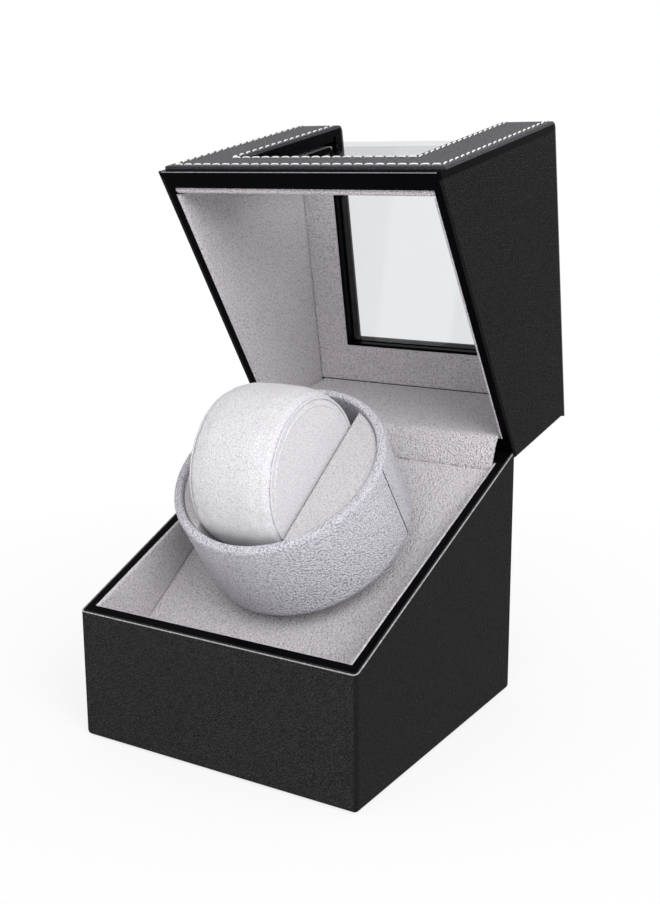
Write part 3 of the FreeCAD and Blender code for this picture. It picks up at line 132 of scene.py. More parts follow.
class Signal:
    """One output of a shader node; arithmetic on it adds Math nodes."""

    def __init__(self, shader: "Shader", socket: bpy.types.NodeSocket) -> None:
        """Keeps the material in the making and the output socket."""
        self.shader = shader
        self.socket = socket

    def __add__(self, other: "Value") -> "Signal":
        """Self plus other."""
        return self.shader.math("ADD", self, other)

    __radd__ = __add__

    def __sub__(self, other: "Value") -> "Signal":
        """Self minus other."""
        return self.shader.math("SUBTRACT", self, other)

    def __rsub__(self, other: "Value") -> "Signal":
        """Other minus self."""
        return self.shader.math("SUBTRACT", other, self)

    def __mul__(self, other: "Value") -> "Signal":
        """Self times other."""
        return self.shader.math("MULTIPLY", self, other)

    __rmul__ = __mul__

    def __truediv__(self, other: "Value") -> "Signal":
        """Self over other."""
        return self.shader.math("DIVIDE", self, other)

    def __rtruediv__(self, other: "Value") -> "Signal":
        """Other over self."""
        return self.shader.math("DIVIDE", other, self)

    def __pow__(self, other: "Value") -> "Signal":
        """Self to the power of other."""
        return self.shader.math("POWER", self, other)

    def __rpow__(self, other: "Value") -> "Signal":
        """Other to the power of self."""
        return self.shader.math("POWER", other, self)

    def __abs__(self) -> "Signal":
        """Self without its sign."""
        return self.at_least(0.0 - self)

    def at_most(self, other: "Value") -> "Signal":
        """The smaller of self and other."""
        return self.shader.math("MINIMUM", self, other)

    def at_least(self, other: "Value") -> "Signal":
        """The larger of self and other."""
        return self.shader.math("MAXIMUM", self, other)

    def limited(self) -> "Signal":
        """Self, kept from 0 to 1."""
        return self.at_most(1.0).at_least(0.0)


Value = Union[Signal, float]
Sockets = Mapping[Union[str, int], object]
Owner = Union[bpy.types.Material, bpy.types.World]


class Shader:
    """A node material, or the world's nodes, in the making."""

    MIX_FACTOR, MIX_FIRST, MIX_SECOND, MIX_COLOUR = 0, 6, 7, 2

    def __init__(self, owner: Owner) -> None:
        """Starts with an empty node tree.

        Args:
            owner: The material or world that the nodes are for.
        """
        owner.use_nodes = True
        self.owner = owner
        self.tree = owner.node_tree
        self.tree.nodes.clear()

    @classmethod
    def started(cls, name: str) -> tuple["Shader", Signal]:
        """Starts an empty material of that name, with the point on its surface."""
        shader = cls(bpy.data.materials.new(name))
        return shader, shader.signal(shader.node("ShaderNodeTexCoord"), "Object")

    def node(
        self,
        kind: str,
        settings: Optional[Mapping[str, object]] = None,
        sockets: Optional[Sockets] = None,
    ) -> bpy.types.Node:
        """Adds a node.

        Args:
            kind: Blender's name for the node's type.
            settings: The node's own settings, set before its sockets.
            sockets: A number, a colour or a signal for each input that isn't left at its default.

        Returns:
            The new node.
        """
        made = self.tree.nodes.new(kind)
        for key, value in (settings or {}).items():
            setattr(made, key, value)
        for key, value in (sockets or {}).items():
            if isinstance(value, Signal):
                self.tree.links.new(value.socket, made.inputs[key])
            else:
                made.inputs[key].default_value = value
        return made

    def signal(self, made: bpy.types.Node, output: Union[str, int] = 0) -> Signal:
        """Wraps one output of a node."""
        return Signal(self, made.outputs[output])

    def math(self, operation: str, first: Value, second: Value) -> Signal:
        """Adds a Math node on two values."""
        made = self.node("ShaderNodeMath", {"operation": operation}, {0: first, 1: second})
        return self.signal(made)

    def vector(self, operation: str, sockets: Sockets, output: str = "Vector") -> Signal:
        """Adds a Vector Math node and gives one of its outputs."""
        made = self.node("ShaderNodeVectorMath", {"operation": operation}, sockets)
        return self.signal(made, output)

    def noise(
        self, where: Signal, size: float, detail: float = 2.0, roughness: float = 0.5
    ) -> Signal:
        """Cloudy noise.

        Args:
            where: The point to read it at.
            size: The width of one cloud.
            detail: How many finer layers are added.
            roughness: How strong the finer layers are.

        Returns:
            A value about one half, from 0 to 1.
        """
        scale = 1 / (size * MM)
        sockets = {"Vector": where, "Scale": scale, "Detail": detail, "Roughness": roughness}
        return self.signal(self.node("ShaderNodeTexNoise", None, sockets))

    def cells(self, kind: Cells, where: Signal, size: float) -> Signal:
        """A pattern of cells.

        Args:
            kind: What is measured.
            where: The point to read it at.
            size: The width of one cell.

        Returns:
            The distance from the creases or from the middle of the nearest cell.
        """
        feature, distance = kind.value
        settings = {"feature": feature, "distance": distance}
        sockets = {"Vector": where, "Scale": 1 / (size * MM)}
        return self.signal(self.node("ShaderNodeTexVoronoi", settings, sockets), "Distance")

    def stretched(self, where: Signal, scale: Colour) -> Signal:
        """The same place with each axis scaled, for drawn-out grain."""
        return self.signal(self.node("ShaderNodeMapping", None, {"Vector": where, "Scale": scale}))

    def swayed(self, where: Signal, size: float, reach: float) -> Signal:
        """The same place pushed about by noise, so that a pattern isn't regular.

        Args:
            where: The point to push.
            size: The width of one cloud of the noise.
            reach: How far the point moves at most.

        Returns:
            The pushed point.
        """
        sockets = {"Vector": where, "Scale": 1 / (size * MM), "Detail": 1.0}
        cloud = self.signal(self.node("ShaderNodeTexNoise", None, sockets), "Color")
        push = self.vector("SCALE", {0: cloud, "Scale": reach * MM})
        return self.vector("ADD", {0: where, 1: push})

    def between(self, share: Signal, first: Colour, second: Colour) -> Signal:
        """A colour between two.

        Args:
            share: How much of the second, from 0 to 1.
            first: The colour at 0.
            second: The colour at 1.

        Returns:
            The mixed colour.
        """
        sockets = {
            self.MIX_FACTOR: share,
            self.MIX_FIRST: (*first, 1.0),
            self.MIX_SECOND: (*second, 1.0),
        }
        made = self.node("ShaderNodeMix", {"data_type": "RGBA"}, sockets)
        return self.signal(made, self.MIX_COLOUR)

    def bump(self, height: Signal, depth: float) -> Signal:
        """A bumped normal from a height of 0 to 1, where 1 stands that high."""
        sockets = {"Height": height, "Distance": depth * MM, "Strength": 1.0}
        return self.signal(self.node("ShaderNodeBump", None, sockets))

    def away_from(self, where: Signal, x: float, y: float, reach: float) -> Signal:
        """How far a place is from two upright lines at plus and minus x.

        Args:
            where: The place.
            x: How far out the lines stand, to each side.
            y: How far back they stand.
            reach: The distance that counts as 1.

        Returns:
            The square of the distance over the reach, from 0 to 1.
        """
        parts = self.node("ShaderNodeSeparateXYZ", None, {0: where})
        across, back = self.signal(parts, "X"), self.signal(parts, "Y")
        aside = (abs(across) - x * MM) / (reach * MM)
        behind = (back - y * MM) / (reach * MM)
        return (aside * aside + behind * behind).at_most(1.0)

    def beyond(self, where: Signal, x: float) -> Signal:
        """Grows from 0 to 1 over the first millimetre that a place is further aside than x."""
        across = self.signal(self.node("ShaderNodeSeparateXYZ", None, {0: where}), "X")
        return (abs(across) / MM - x).limited()

    def surface(self, sockets: Mapping[str, object]) -> Signal:
        """The main shader, with its inputs by name."""
        return self.signal(self.node("ShaderNodeBsdfPrincipled", None, sockets))

    def mixed(self, share: Signal, first: Signal, second: Signal) -> Signal:
        """A shader between two, by a share from 0 to 1."""
        return self.signal(self.node("ShaderNodeMixShader", None, {0: share, 1: first, 2: second}))

    def seen(self) -> Signal:
        """Tells the rays that see a surface from those that only carry its light.

        Returns:
            1 for a ray of the camera, a mirrored ray or one that passed through, 0 for others.
        """
        rays = self.node("ShaderNodeLightPath")
        names = ("Is Camera Ray", "Is Glossy Ray", "Is Transmission Ray")
        camera, glossy, through = (self.signal(rays, name) for name in names)
        return camera.at_least(glossy).at_least(through)

    def finish(self, shader: Signal) -> Owner:
        """Links a shader to the output.

        Args:
            shader: The whole shader.

        Returns:
            The finished material or world.
        """
        world = isinstance(self.owner, bpy.types.World)
        kind = "ShaderNodeOutputWorld" if world else "ShaderNodeOutputMaterial"
        self.node(kind, None, {"Surface": shader})
        return self.owner

    def coated(self, sockets: Mapping[str, object]) -> bpy.types.Material:
        """Finishes the material with the main shader alone."""
        return self.finish(self.surface(sockets))


def dimmed(colour: Colour, share: float) -> Colour:
    """A colour with that share of its light."""
    return tuple(share * part for part in colour)


@dataclass(frozen=True)
class Leather:
    """Pebbled leather: fine cells parted by soft creases, broken up by wrinkles and broad clouds.

    Leather with a fold darkens along two upright lines, and its sides take painted shade: their
    colour is darkened as if they lay away from the light.
    """

    name: str
    crease: Colour = (0.008, 0.008, 0.0084)
    pebble: Colour = (0.038, 0.038, 0.0392)
    cell: float = 0.95
    depth: float = 0.55
    roughness: float = 0.5
    gloss: float = 0.012
    drawn: Colour = (1.0, 0.55, 1.0)
    sway: float = 2.2
    sway_reach: float = 0.9
    steepness: float = 3.2
    wrinkle: float = 0.8
    speck: float = 0.3
    cloud: float = 34.0
    ground: float = 0.52
    pebble_mean: float = 0.55
    pebble_weight: float = 0.7
    wrinkle_weight: float = 1.05
    cloud_weight: float = 0.12
    dome: float = 0.7
    pebble_height: float = 0.55
    wrinkle_height: float = 0.6
    speck_height: float = 0.12
    crease_matt: float = 0.1
    wrinkle_matt: float = 0.25
    fold: Optional[Pair] = None
    fold_reach: float = 1.3
    # Painted shade on the sides: how far aside it starts, and the share of colour it takes off.
    painted_shade_start: float = 58.7
    side_painted_shade: float = 0.65

    def material(self) -> bpy.types.Material:
        """Makes the node material.

        Returns:
            The new material.
        """
        shader, here = Shader.started(self.name)
        hide = shader.stretched(here, self.drawn)
        swayed = shader.swayed(hide, self.sway, self.sway_reach)
        domes = (shader.cells(Cells.CREASES, swayed, self.cell) * self.steepness).at_most(1.0)
        wrinkles = shader.noise(hide, self.wrinkle)
        specks = shader.noise(here, self.speck)
        clouds = shader.noise(here, self.cloud)
        share = (
            self.ground
            + (domes - self.pebble_mean) * self.pebble_weight
            + (wrinkles - NOISE_MEAN) * self.wrinkle_weight
            + (clouds - NOISE_MEAN) * self.cloud_weight
        ).limited()
        if self.fold:
            share = share * shader.away_from(here, *self.fold, self.fold_reach)
            # Painted shade: further aside than the sides' start, the colour darkens as if the sides
            # lay away from the light.
            share = share * (1.0 - shader.beyond(here, self.painted_shade_start) * self.side_painted_shade)
        height = (
            domes ** self.dome * self.pebble_height
            + wrinkles * self.wrinkle_height
            + specks * self.speck_height
        )
        matt = self.roughness + self.crease_matt - domes * self.crease_matt
        return shader.coated(
            {
                "Base Color": shader.between(share, self.crease, self.pebble),
                "Roughness": matt + (wrinkles - NOISE_MEAN) * self.wrinkle_matt,
                "Specular IOR Level": self.gloss,
                "Normal": shader.bump(height, self.depth),
            }
        )


@dataclass(frozen=True)
class Lacquer:
    """Polished black lacquer with a faint ripple and finger haze."""

    name: str
    colour: Colour = (0.0022, 0.0022, 0.0028)
    roughness: float = 0.08
    gloss: float = 0.01
    dull: float = 0.7
    haze: float = 14.0
    haze_matt: float = 0.08
    ripple: float = 5.0
    ripple_depth: float = 0.01

    def material(self) -> bpy.types.Material:
        """Makes the node material.

        Returns:
            The new material.
        """
        shader, here = Shader.started(self.name)
        haze = shader.noise(here, self.haze, detail=4.0, roughness=0.6)
        ripple = shader.noise(here, self.ripple, detail=1.0)
        return shader.coated(
            {
                "Base Color": shader.between(haze, dimmed(self.colour, self.dull), self.colour),
                "Roughness": self.roughness + haze * self.haze_matt,
                "Specular IOR Level": self.gloss,
                "Normal": shader.bump(ripple, self.ripple_depth),
            }
        )


@dataclass(frozen=True)
class Suede:
    """Napped cloth: small tufts and a finer grain, with faint clouds where the nap was brushed.

    The grain and the tufts' sway are shares of a tuft's width.
    """

    name: str
    shade: Colour
    light: Colour
    tuft: float = 0.74
    nap: float = 16.0
    depth: float = 1.3
    grain: float = 0.3
    sway: float = 1.6
    sway_reach: float = 0.8
    ground: float = 0.6
    nap_weight: float = 0.2
    tuft_weight: float = 1.2
    grain_weight: float = 1.1
    tuft_height: float = 0.75
    grain_height: float = 0.25
    roughness: float = 0.85
    grain_matt: float = 0.15
    gloss: float = 0.1
    sheen: float = 0.2
    sheen_roughness: float = 0.5
    sheen_tint: Colour = (1.0, 0.98, 1.0)

    def material(self) -> bpy.types.Material:
        """Makes the node material.

        Returns:
            The new material.
        """
        shader, here = Shader.started(self.name)
        clouds = shader.noise(here, self.nap, detail=3.0, roughness=0.6)
        swayed = shader.swayed(here, self.sway * self.tuft, self.sway_reach * self.tuft)
        tufts = 1.0 - shader.cells(Cells.MIDDLES, swayed, self.tuft)
        grains = shader.noise(here, self.grain * self.tuft)
        share = (
            self.ground
            + (clouds - NOISE_MEAN) * self.nap_weight
            + (tufts - NOISE_MEAN) * self.tuft_weight
            + (grains - NOISE_MEAN) * self.grain_weight
        ).limited()
        height = tufts * self.tuft_height + grains * self.grain_height
        return shader.coated(
            {
                "Base Color": shader.between(share, self.shade, self.light),
                "Roughness": self.roughness + grains * self.grain_matt,
                "Specular IOR Level": self.gloss,
                "Sheen Weight": self.sheen,
                "Sheen Roughness": self.sheen_roughness,
                "Sheen Tint": (*self.sheen_tint, 1.0),
                "Normal": shader.bump(height, self.depth),
            }
        )


@dataclass(frozen=True)
class Acrylic:
    """Thin clear sheet: each face tints what shows through, under a weak shine with wipe marks."""

    name: str
    tint: Colour = (0.902, 0.908, 0.917)
    shine: float = 0.03
    wiped: float = 0.04
    wipe: float = 9.0
    drawn: Colour = (1.0, 0.25, 0.25)
    roughness: float = 0.02
    wipe_matt: float = 0.05

    def material(self) -> bpy.types.Material:
        """Makes the node material.

        Returns:
            The new material.
        """
        shader, here = Shader.started(self.name)
        drawn = shader.stretched(here, self.drawn)
        wipes = shader.noise(drawn, self.wipe, detail=4.0, roughness=0.6)
        clear = {"Color": (*self.tint, 1.0)}
        polished = {"Roughness": self.roughness + wipes * self.wipe_matt}
        through = shader.signal(shader.node("ShaderNodeBsdfTransparent", None, clear))
        polish = shader.signal(shader.node("ShaderNodeBsdfGlossy", None, polished))
        return shader.finish(shader.mixed(self.shine + wipes * self.wiped, through, polish))


@dataclass(frozen=True)
class Metal:
    """Drawn or turned metal with fine scratches and dull patches."""

    name: str
    colour: Colour
    roughness: float = 0.28
    dull: float = 0.8
    scratch: float = 0.3
    drawn: Colour = (0.08, 1.0, 1.0)
    scratch_matt: float = 0.2
    scratch_depth: float = 0.01
    patch: float = 4.0
    patch_matt: float = 0.12

    def material(self) -> bpy.types.Material:
        """Makes the node material.

        Returns:
            The new material.
        """
        shader, here = Shader.started(self.name)
        scratches = shader.noise(shader.stretched(here, self.drawn), self.scratch, detail=3.0)
        patches = shader.noise(here, self.patch, detail=3.0)
        scratched = self.roughness + (scratches - NOISE_MEAN) * self.scratch_matt
        return shader.coated(
            {
                "Base Color": shader.between(patches, dimmed(self.colour, self.dull), self.colour),
                "Metallic": 1.0,
                "Roughness": scratched + (patches - NOISE_MEAN) * self.patch_matt,
                "Normal": shader.bump(scratches, self.scratch_depth),
            }
        )


@dataclass(frozen=True)
class Plastic:
    """Moulded plastic with a fine spark-eroded grain."""

    name: str
    colour: Colour
    roughness: float = 0.45
    grain: float = 0.25
    grain_matt: float = 0.2
    grain_depth: float = 0.02
    flow: float = 8.0
    dull: float = 0.85

    def material(self) -> bpy.types.Material:
        """Makes the node material.

        Returns:
            The new material.
        """
        shader, here = Shader.started(self.name)
        grains = shader.noise(here, self.grain)
        flow = shader.noise(here, self.flow)
        return shader.coated(
            {
                "Base Color": shader.between(flow, dimmed(self.colour, self.dull), self.colour),
                "Roughness": self.roughness + (grains - NOISE_MEAN) * self.grain_matt,
                "Normal": shader.bump(grains, self.grain_depth),
            }
        )


@dataclass(frozen=True)
class Fibreboard:
    """Pressed fibre: pale and dark short fibres in a felted mass."""

    name: str
    shade: Colour = (0.20, 0.13, 0.075)
    light: Colour = (0.42, 0.30, 0.19)
    fibre: float = 0.5
    drawn: Colour = (0.35, 1.0, 0.6)
    fibre_weight: float = 0.8
    fibre_depth: float = 0.08
    fibre_matt: float = 0.2
    cloud: float = 12.0
    cloud_weight: float = 0.5
    darker: float = 0.15
    roughness: float = 0.75
    gloss: float = 0.2

    def material(self) -> bpy.types.Material:
        """Makes the node material.

        Returns:
            The new material.
        """
        shader, here = Shader.started(self.name)
        drawn = shader.stretched(here, self.drawn)
        fibres = shader.noise(drawn, self.fibre, detail=4.0, roughness=0.7)
        clouds = shader.noise(here, self.cloud)
        share = fibres * self.fibre_weight + clouds * self.cloud_weight - self.darker
        return shader.coated(
            {
                "Base Color": shader.between(share.limited(), self.shade, self.light),
                "Roughness": self.roughness + fibres * self.fibre_matt,
                "Specular IOR Level": self.gloss,
                "Normal": shader.bump(fibres, self.fibre_depth),
            }
        )


@dataclass(frozen=True)
class CircuitBoard:
    """Green solder mask over paler copper runs that follow a square lattice."""

    name: str
    mask: Colour = (0.010, 0.085, 0.030)
    copper: Colour = (0.035, 0.19, 0.075)
    lattice: float = 4.0
    run_start: float = 0.32
    run_steepness: float = 12.0
    run_height: float = 0.8
    weave: float = 0.4
    weave_height: float = 0.2
    weave_matt: float = 0.12
    roughness: float = 0.32
    depth: float = 0.03

    def material(self) -> bpy.types.Material:
        """Makes the node material.

        Returns:
            The new material.
        """
        shader, here = Shader.started(self.name)
        squares = shader.cells(Cells.SQUARES, here, self.lattice)
        runs = ((squares - self.run_start) * self.run_steepness).limited()
        weave = shader.noise(here, self.weave)
        height = runs * self.run_height + weave * self.weave_height
        return shader.coated(
            {
                "Base Color": shader.between(runs, self.mask, self.copper),
                "Roughness": self.roughness + weave * self.weave_matt,
                "Normal": shader.bump(height, self.depth),
            }
        )


class Finishes:
    """Every finish of the box, made once each."""

    ALL = (
        # The lid's leather is the base's leather made darker as painted shade, for sides that lie
        # away from the light.
        Leather("black_leather", pebble=(0.023, 0.023, 0.0236)),
        # The base's leather, whose sides take painted shade.
        Leather(
            "base_leather", crease=(0.011, 0.011, 0.0113), pebble=(0.037, 0.037, 0.038),
            depth=0.4, fold=(59.414, -61.414),
        ),
        # Smoother, glossier leather for the stitched face; its lighter, bluer colour than the lid's
        # sides is painted sheen.
        Leather(
            "face_leather", crease=(0.018, 0.018, 0.022), pebble=(0.052, 0.052, 0.064),
            depth=0.10, gloss=0.25,
        ),
        # Painted highlight: a light grey for thin lines that stand in for glints on the rim's and
        # the flange's edges.
        Leather(
            "painted_highlight", crease=(0.20, 0.20, 0.20), pebble=(0.42, 0.42, 0.43),
            depth=0.03, roughness=0.3, gloss=0.1,
        ),
        Lacquer("black_lacquer"),
        # The linings' suede, made lighter than the cup's as painted light on the deck and inside
        # the lid.
        Suede("lining_suede", shade=(0.41, 0.382, 0.405), light=(0.80, 0.765, 0.797)),
        Suede("cup_suede", shade=(0.305, 0.295, 0.34), light=(0.765, 0.75, 0.805)),
        Suede(
            "cheek_suede", shade=(0.39, 0.374, 0.395), light=(0.63, 0.608, 0.633),
            tuft=0.6, depth=0.6,
        ),
        Suede(
            "cushion_suede", shade=(0.44, 0.43, 0.452), light=(0.66, 0.65, 0.675),
            tuft=0.6, depth=0.3,
        ),
        Suede("felt", shade=(0.006, 0.006, 0.007), light=(0.024, 0.024, 0.026), tuft=1.6),
        Suede(
            "thread", shade=(0.55, 0.54, 0.53), light=(0.88, 0.87, 0.85),
            tuft=0.4, nap=3.0, depth=0.05,
        ),
        # Painted shade: near-black for the dishes that stand in for the shade inside needle holes.
        Plastic("needle_hole", colour=(0.004, 0.004, 0.004), roughness=0.9),
        # Painted shade: a dark grey for the line that stands in for the shade in the cup's seam
        # groove.
        Plastic("painted_seam_shade", colour=(0.055, 0.045, 0.045), roughness=0.9),
        Acrylic("clear_acrylic"),
        Metal("steel", colour=(0.56, 0.57, 0.58)),
        Metal("brass", colour=(0.72, 0.49, 0.19), roughness=0.22),
        Plastic("white_plastic", colour=(0.62, 0.61, 0.58)),
        Plastic("black_plastic", colour=(0.013, 0.013, 0.014), roughness=0.5),
        Plastic("rocker_plastic", colour=(0.010, 0.010, 0.011), roughness=0.3, grain=0.4),
        Plastic("wire", colour=(0.30, 0.012, 0.010), roughness=0.4),
        Fibreboard("bare_board"),
        CircuitBoard("circuit_board"),
    )

    def __init__(self) -> None:
        """Makes a material for each finish."""
        self.made = {finish.name: finish.material() for finish in self.ALL}

    def dress(self, piece: bpy.types.Object, finish: str) -> None:
        """Gives a piece one finish all over."""
        piece.data.materials.clear()
        piece.data.materials.append(self.made[finish])


class Shape:
    """A mesh in the making: surfaces are added as whole arrays of points."""

    MERGE = 1e-6

    def __init__(self, name: str, place: Place = UPRIGHT) -> None:
        """Starts an empty shape.

        Args:
            name: The name of its mesh and object.
            place: Where it is drawn.
        """
        self.name = name
        self.place = place
        self.points: list[Array] = []
        self.faces: list[list[int]] = []
        self.count = 0

    def numbered(self, points: Array) -> Array:
        """Keeps an array of points.

        Args:
            points: The points, with x, y and z on the last axis.

        Returns:
            Their numbers, in the same order.
        """
        index = self.count + np.arange(points[..., 0].size).reshape(points.shape[:-1])
        self.points.append(points.reshape(-1, 3))
        self.count += index.size
        return index

    def surface(
        self, points: Array, around: bool = False, along: bool = False, flip: bool = False
    ) -> Array:
        """Adds a grid of points as a surface.

        Its outer side is where the columns' direction crossed with the rows' direction points.

        Args:
            points: The points, as rows by columns by three.
            around: Whether the last column joins the first.
            along: Whether the last row joins the first.
            flip: Whether the outer side is the other one.

        Returns:
            The numbers of the points, as rows by columns.
        """
        index = self.numbered(points)
        ring = np.vstack((index, index[:1])) if along else index
        ring = np.hstack((ring, ring[:, :1])) if around else ring
        corners = (ring[:-1, :-1], ring[:-1, 1:], ring[1:, 1:], ring[1:, :-1])
        quads = np.stack(corners, axis=-1).reshape(-1, 4)
        self.faces += (quads[:, ::-1] if flip else quads).tolist()
        return index

    def copies(self, points: Array) -> None:
        """Adds many small closed tubes, each with its ends capped.

        Args:
            points: The points, as copies by rows by columns by three.
        """
        index = self.numbered(points)
        ring = np.concatenate((index, index[:, :, :1]), axis=2)
        corners = (ring[:, :-1, :-1], ring[:, :-1, 1:], ring[:, 1:, 1:], ring[:, 1:, :-1])
        self.faces += np.stack(corners, axis=-1).reshape(-1, 4).tolist()
        self.faces += index[:, 0, ::-1].tolist()
        self.faces += index[:, -1].tolist()

    def cap(self, loops: Sequence[Array], flat: Sequence[Array], flip: bool = False) -> None:
        """Closes a flat face that may have holes.

        Args:
            loops: The point numbers of the outer edge and of each hole.
            flat: The same points on the plane, each as two numbers.
            flip: Whether the face looks the other way.
        """
        numbers = np.concatenate(loops)
        sizes = [len(loop) for loop in loops]
        edges = np.concatenate(
            [first + np.stack((np.arange(size), np.roll(np.arange(size), -1)), axis=-1)
             for first, size in zip(np.cumsum([0] + sizes), sizes)]
        )
        corners = [Vector(pair) for pair in np.concatenate(flat).tolist()]
        result = delaunay_2d_cdt(corners, edges.tolist(), [], 2, self.MERGE)
        triangles = np.array(result[2])
        source = np.array([ids[0] for ids in result[3]])
        solid = np.array([tuple(corner) for corner in result[0]])
        a, b, c = (solid[triangles[:, k]] for k in range(3))
        turn = (b - a)[:, 0] * (c - a)[:, 1] - (b - a)[:, 1] * (c - a)[:, 0]
        wrong = (turn < 0) != flip
        triangles[wrong] = triangles[wrong][:, ::-1]
        self.faces += numbers[source[triangles]].tolist()

    def piece(self, sharp: float = 40.0) -> bpy.types.Object:
        """Makes the object, at the origin, with its place in its mesh.

        Args:
            sharp: The angle past which an edge is a crease.

        Returns:
            The new object.
        """
        mesh = bpy.data.meshes.new(self.name)
        points = self.place.out(np.concatenate(self.points)) * MM
        mesh.from_pydata(points.tolist(), [], self.faces)
        mesh.shade_smooth()
        mesh.set_sharp_from_angle(angle=math.radians(sharp))
        made = bpy.data.objects.new(self.name, mesh)
        bpy.context.scene.collection.objects.link(made)
        return made


def unit(ways: Array) -> Array:
    """Each direction at a length of one."""
    return ways / np.linalg.norm(ways, axis=1, keepdims=True)


def left_of(ways: Array) -> Array:
    """Each flat direction turned a quarter to the left."""
    return np.stack((-ways[:, 1], ways[:, 0]), axis=-1)


def quarter(steps: int) -> tuple[Array, Array]:
    """The cosines and sines of a quarter turn in equal steps."""
    turn = np.linspace(0.0, math.pi / 2, steps + 1)
    return np.cos(turn), np.sin(turn)


def circle(radius: float, number: int) -> Array:
    """Points round a circle about the origin, anticlockwise."""
    turn = np.arange(number) * 2 * math.pi / number
    return radius * np.stack((np.cos(turn), np.sin(turn)), axis=-1)


def oblong(half: float, low: float, high: float) -> tuple[Pair, ...]:
    """The corners of a rectangle that is centred across, anticlockwise."""
    return (-half, low), (half, low), (half, high), (-half, high)


def signed_area(outline: Array) -> float:
    """Half the sum of the corners' cross products, positive for an anticlockwise outline."""
    after = np.roll(outline, -1, axis=0)
    return np.sum(outline[:, 0] * after[:, 1] - outline[:, 1] * after[:, 0]) / 2


def mitres(outline: Array) -> Array:
    """Inward steps at an outline's corners that move every side inwards by one.

    Each is the sum of the two sides' inward normals, over one plus the normals' product.

    Args:
        outline: The corners, anticlockwise.

    Returns:
        One step for each corner.
    """
    normal = left_of(unit(np.roll(outline, -1, axis=0) - outline))
    before = np.roll(normal, 1, axis=0)
    return (normal + before) / (1.0 + np.sum(normal * before, axis=1, keepdims=True))


def carried_tube(name: str, place: Place, line: Array, radius: float, sides: int = 8) -> Shape:
    """Carries a ring along a line of points, square to the line at each point.

    Args:
        name: The shape's name.
        place: Where it is drawn.
        line: The points, in order.
        radius: The ring's radius.
        sides: The ring's number of sides.

    Returns:
        The closed tube.
    """
    askew = (0.31, 0.52, 0.79)
    ahead = unit(np.gradient(line, axis=0))
    side = unit(np.cross(ahead, askew))
    over = np.cross(ahead, side)
    ring = circle(radius, sides)
    grid = line[:, None] + ring[None, :, :1] * side[:, None] + ring[None, :, 1:] * over[:, None]
    shape = Shape(name, place)
    rows = shape.surface(grid, around=True)
    shape.faces.append(rows[0, ::-1].tolist())
    shape.faces.append(rows[-1].tolist())
    return shape


@dataclass(frozen=True)
class Panel:
    """A flat lining with a rolled edge.

    An outline is carried up its thickness: straight up from the back, then round a quarter turn
    that draws it inwards, and then a little further in to hold the flat of the face. A hole is a
    middle and a radius.
    """

    name: str
    outline: Sequence[Pair]
    across: Across
    back: float
    face: float
    roll: float = 0.9
    hold: float = 0.4
    holes: tuple[Point, ...] = ()
    place: Place = UPRIGHT
    roll_steps: int = 6
    hole_sides: int = 32

    def stood(self, flat: Array, level: Array) -> Array:
        """Stands flat points up at a level along the panel's thickness.

        Args:
            flat: Points on the panel's plane.
            level: Their levels along the thickness.

        Returns:
            Points in the panel's place.
        """
        a, b = flat[..., 0], flat[..., 1]
        h = np.broadcast_to(level, a.shape)
        order = {Across.X: (h, a, b), Across.Y: (a, h, b), Across.Z: (a, b, h)}[self.across]
        return np.stack(order, axis=-1)

    def build(self) -> bpy.types.Object:
        """Builds the panel.

        Returns:
            The new object.
        """
        outline = np.array(self.outline, float)
        if signed_area(outline) < 0:
            outline = outline[::-1]
        sign = math.copysign(1.0, self.face - self.back)
        flip = (sign < 0) != (self.across is Across.Y)
        thick = abs(self.face - self.back)
        cosines, sines = quarter(self.roll_steps)
        inset = np.concatenate(([0.0], self.roll * (1 - cosines), [self.roll + self.hold]))
        rise = np.concatenate(([0.0], thick - self.roll + self.roll * sines, [thick]))
        flat = outline[None] + inset[:, None, None] * mitres(outline)[None]
        shape = Shape(self.name, self.place)
        levels = (self.back + sign * rise)[:, None]
        rows = shape.surface(self.stood(flat, levels), around=True, flip=flip)
        faces, backs = [(rows[-1], flat[-1])], [(rows[0], flat[0])]
        for x, y, radius in self.holes:
            ring = circle(radius, self.hole_sides) + (x, y)
            wall = self.stood(np.stack((ring, ring)), np.array([[self.back], [self.face]]))
            low, high = shape.surface(wall, around=True, flip=not flip)
            faces.append((high, ring))
            backs.append((low, ring))
        shape.cap(*zip(*faces), flip=flip)
        shape.cap(*zip(*backs), flip=not flip)
        return shape.piece()


@dataclass
class Assembly:
    """A sub-assembly of the box: nodes of the frame that it dresses, and pieces on one body."""

    finishes: Finishes
    body: ClassVar[Body] = Body.BASE
    dressed: ClassVar[Mapping[str, Sequence[str]]] = {}

    def dress(self) -> None:
        """Gives each of the assembly's own nodes its finish."""
        for finish, names in self.dressed.items():
            for name in names:
                self.finishes.dress(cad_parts[name], finish)
                log.info("node %s: %s", name, finish)

    def cover(self, piece: bpy.types.Object, finish: str, *nodes: str) -> None:
        """Dresses a piece and lets it stand for nodes of the frame.

        Args:
            piece: The new piece.
            finish: The name of the finish.
            nodes: The nodes that it stands for.
        """
        self.finishes.dress(piece, finish)
        if nodes:
            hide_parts(*nodes)

    def settle(self, piece: bpy.types.Object, finish: str, *nodes: str) -> bpy.types.Object:
        """Covers a piece and sets it on the assembly's body.

        Args:
            piece: The new piece.
            finish: The name of the finish.
            nodes: The nodes that it stands for.

        Returns:
            The same piece.
        """
        self.cover(piece, finish, *nodes)
        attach(piece, self.body.value)
        count = len(piece.data.polygons)
        log.info("piece %s: %s on %s, %d faces", piece.name, finish, self.body.value, count)
        return piece

    def hang(self, panel: Panel, board: str, node: str, finish: str = "lining_suede") -> None:
        """Args:
            panel: The cloth.
            board: What it is glued to; not used.
            node: The node that it stands for.
            finish: The name of its finish.
        """
        piece = self.settle(panel.build(), finish, node)

    def make(self) -> None:
        """Makes the assembly's new pieces, where it has any."""

    def build(self) -> None:
        """Dresses the assembly's nodes and makes its new pieces."""
        self.dress()
        self.make()


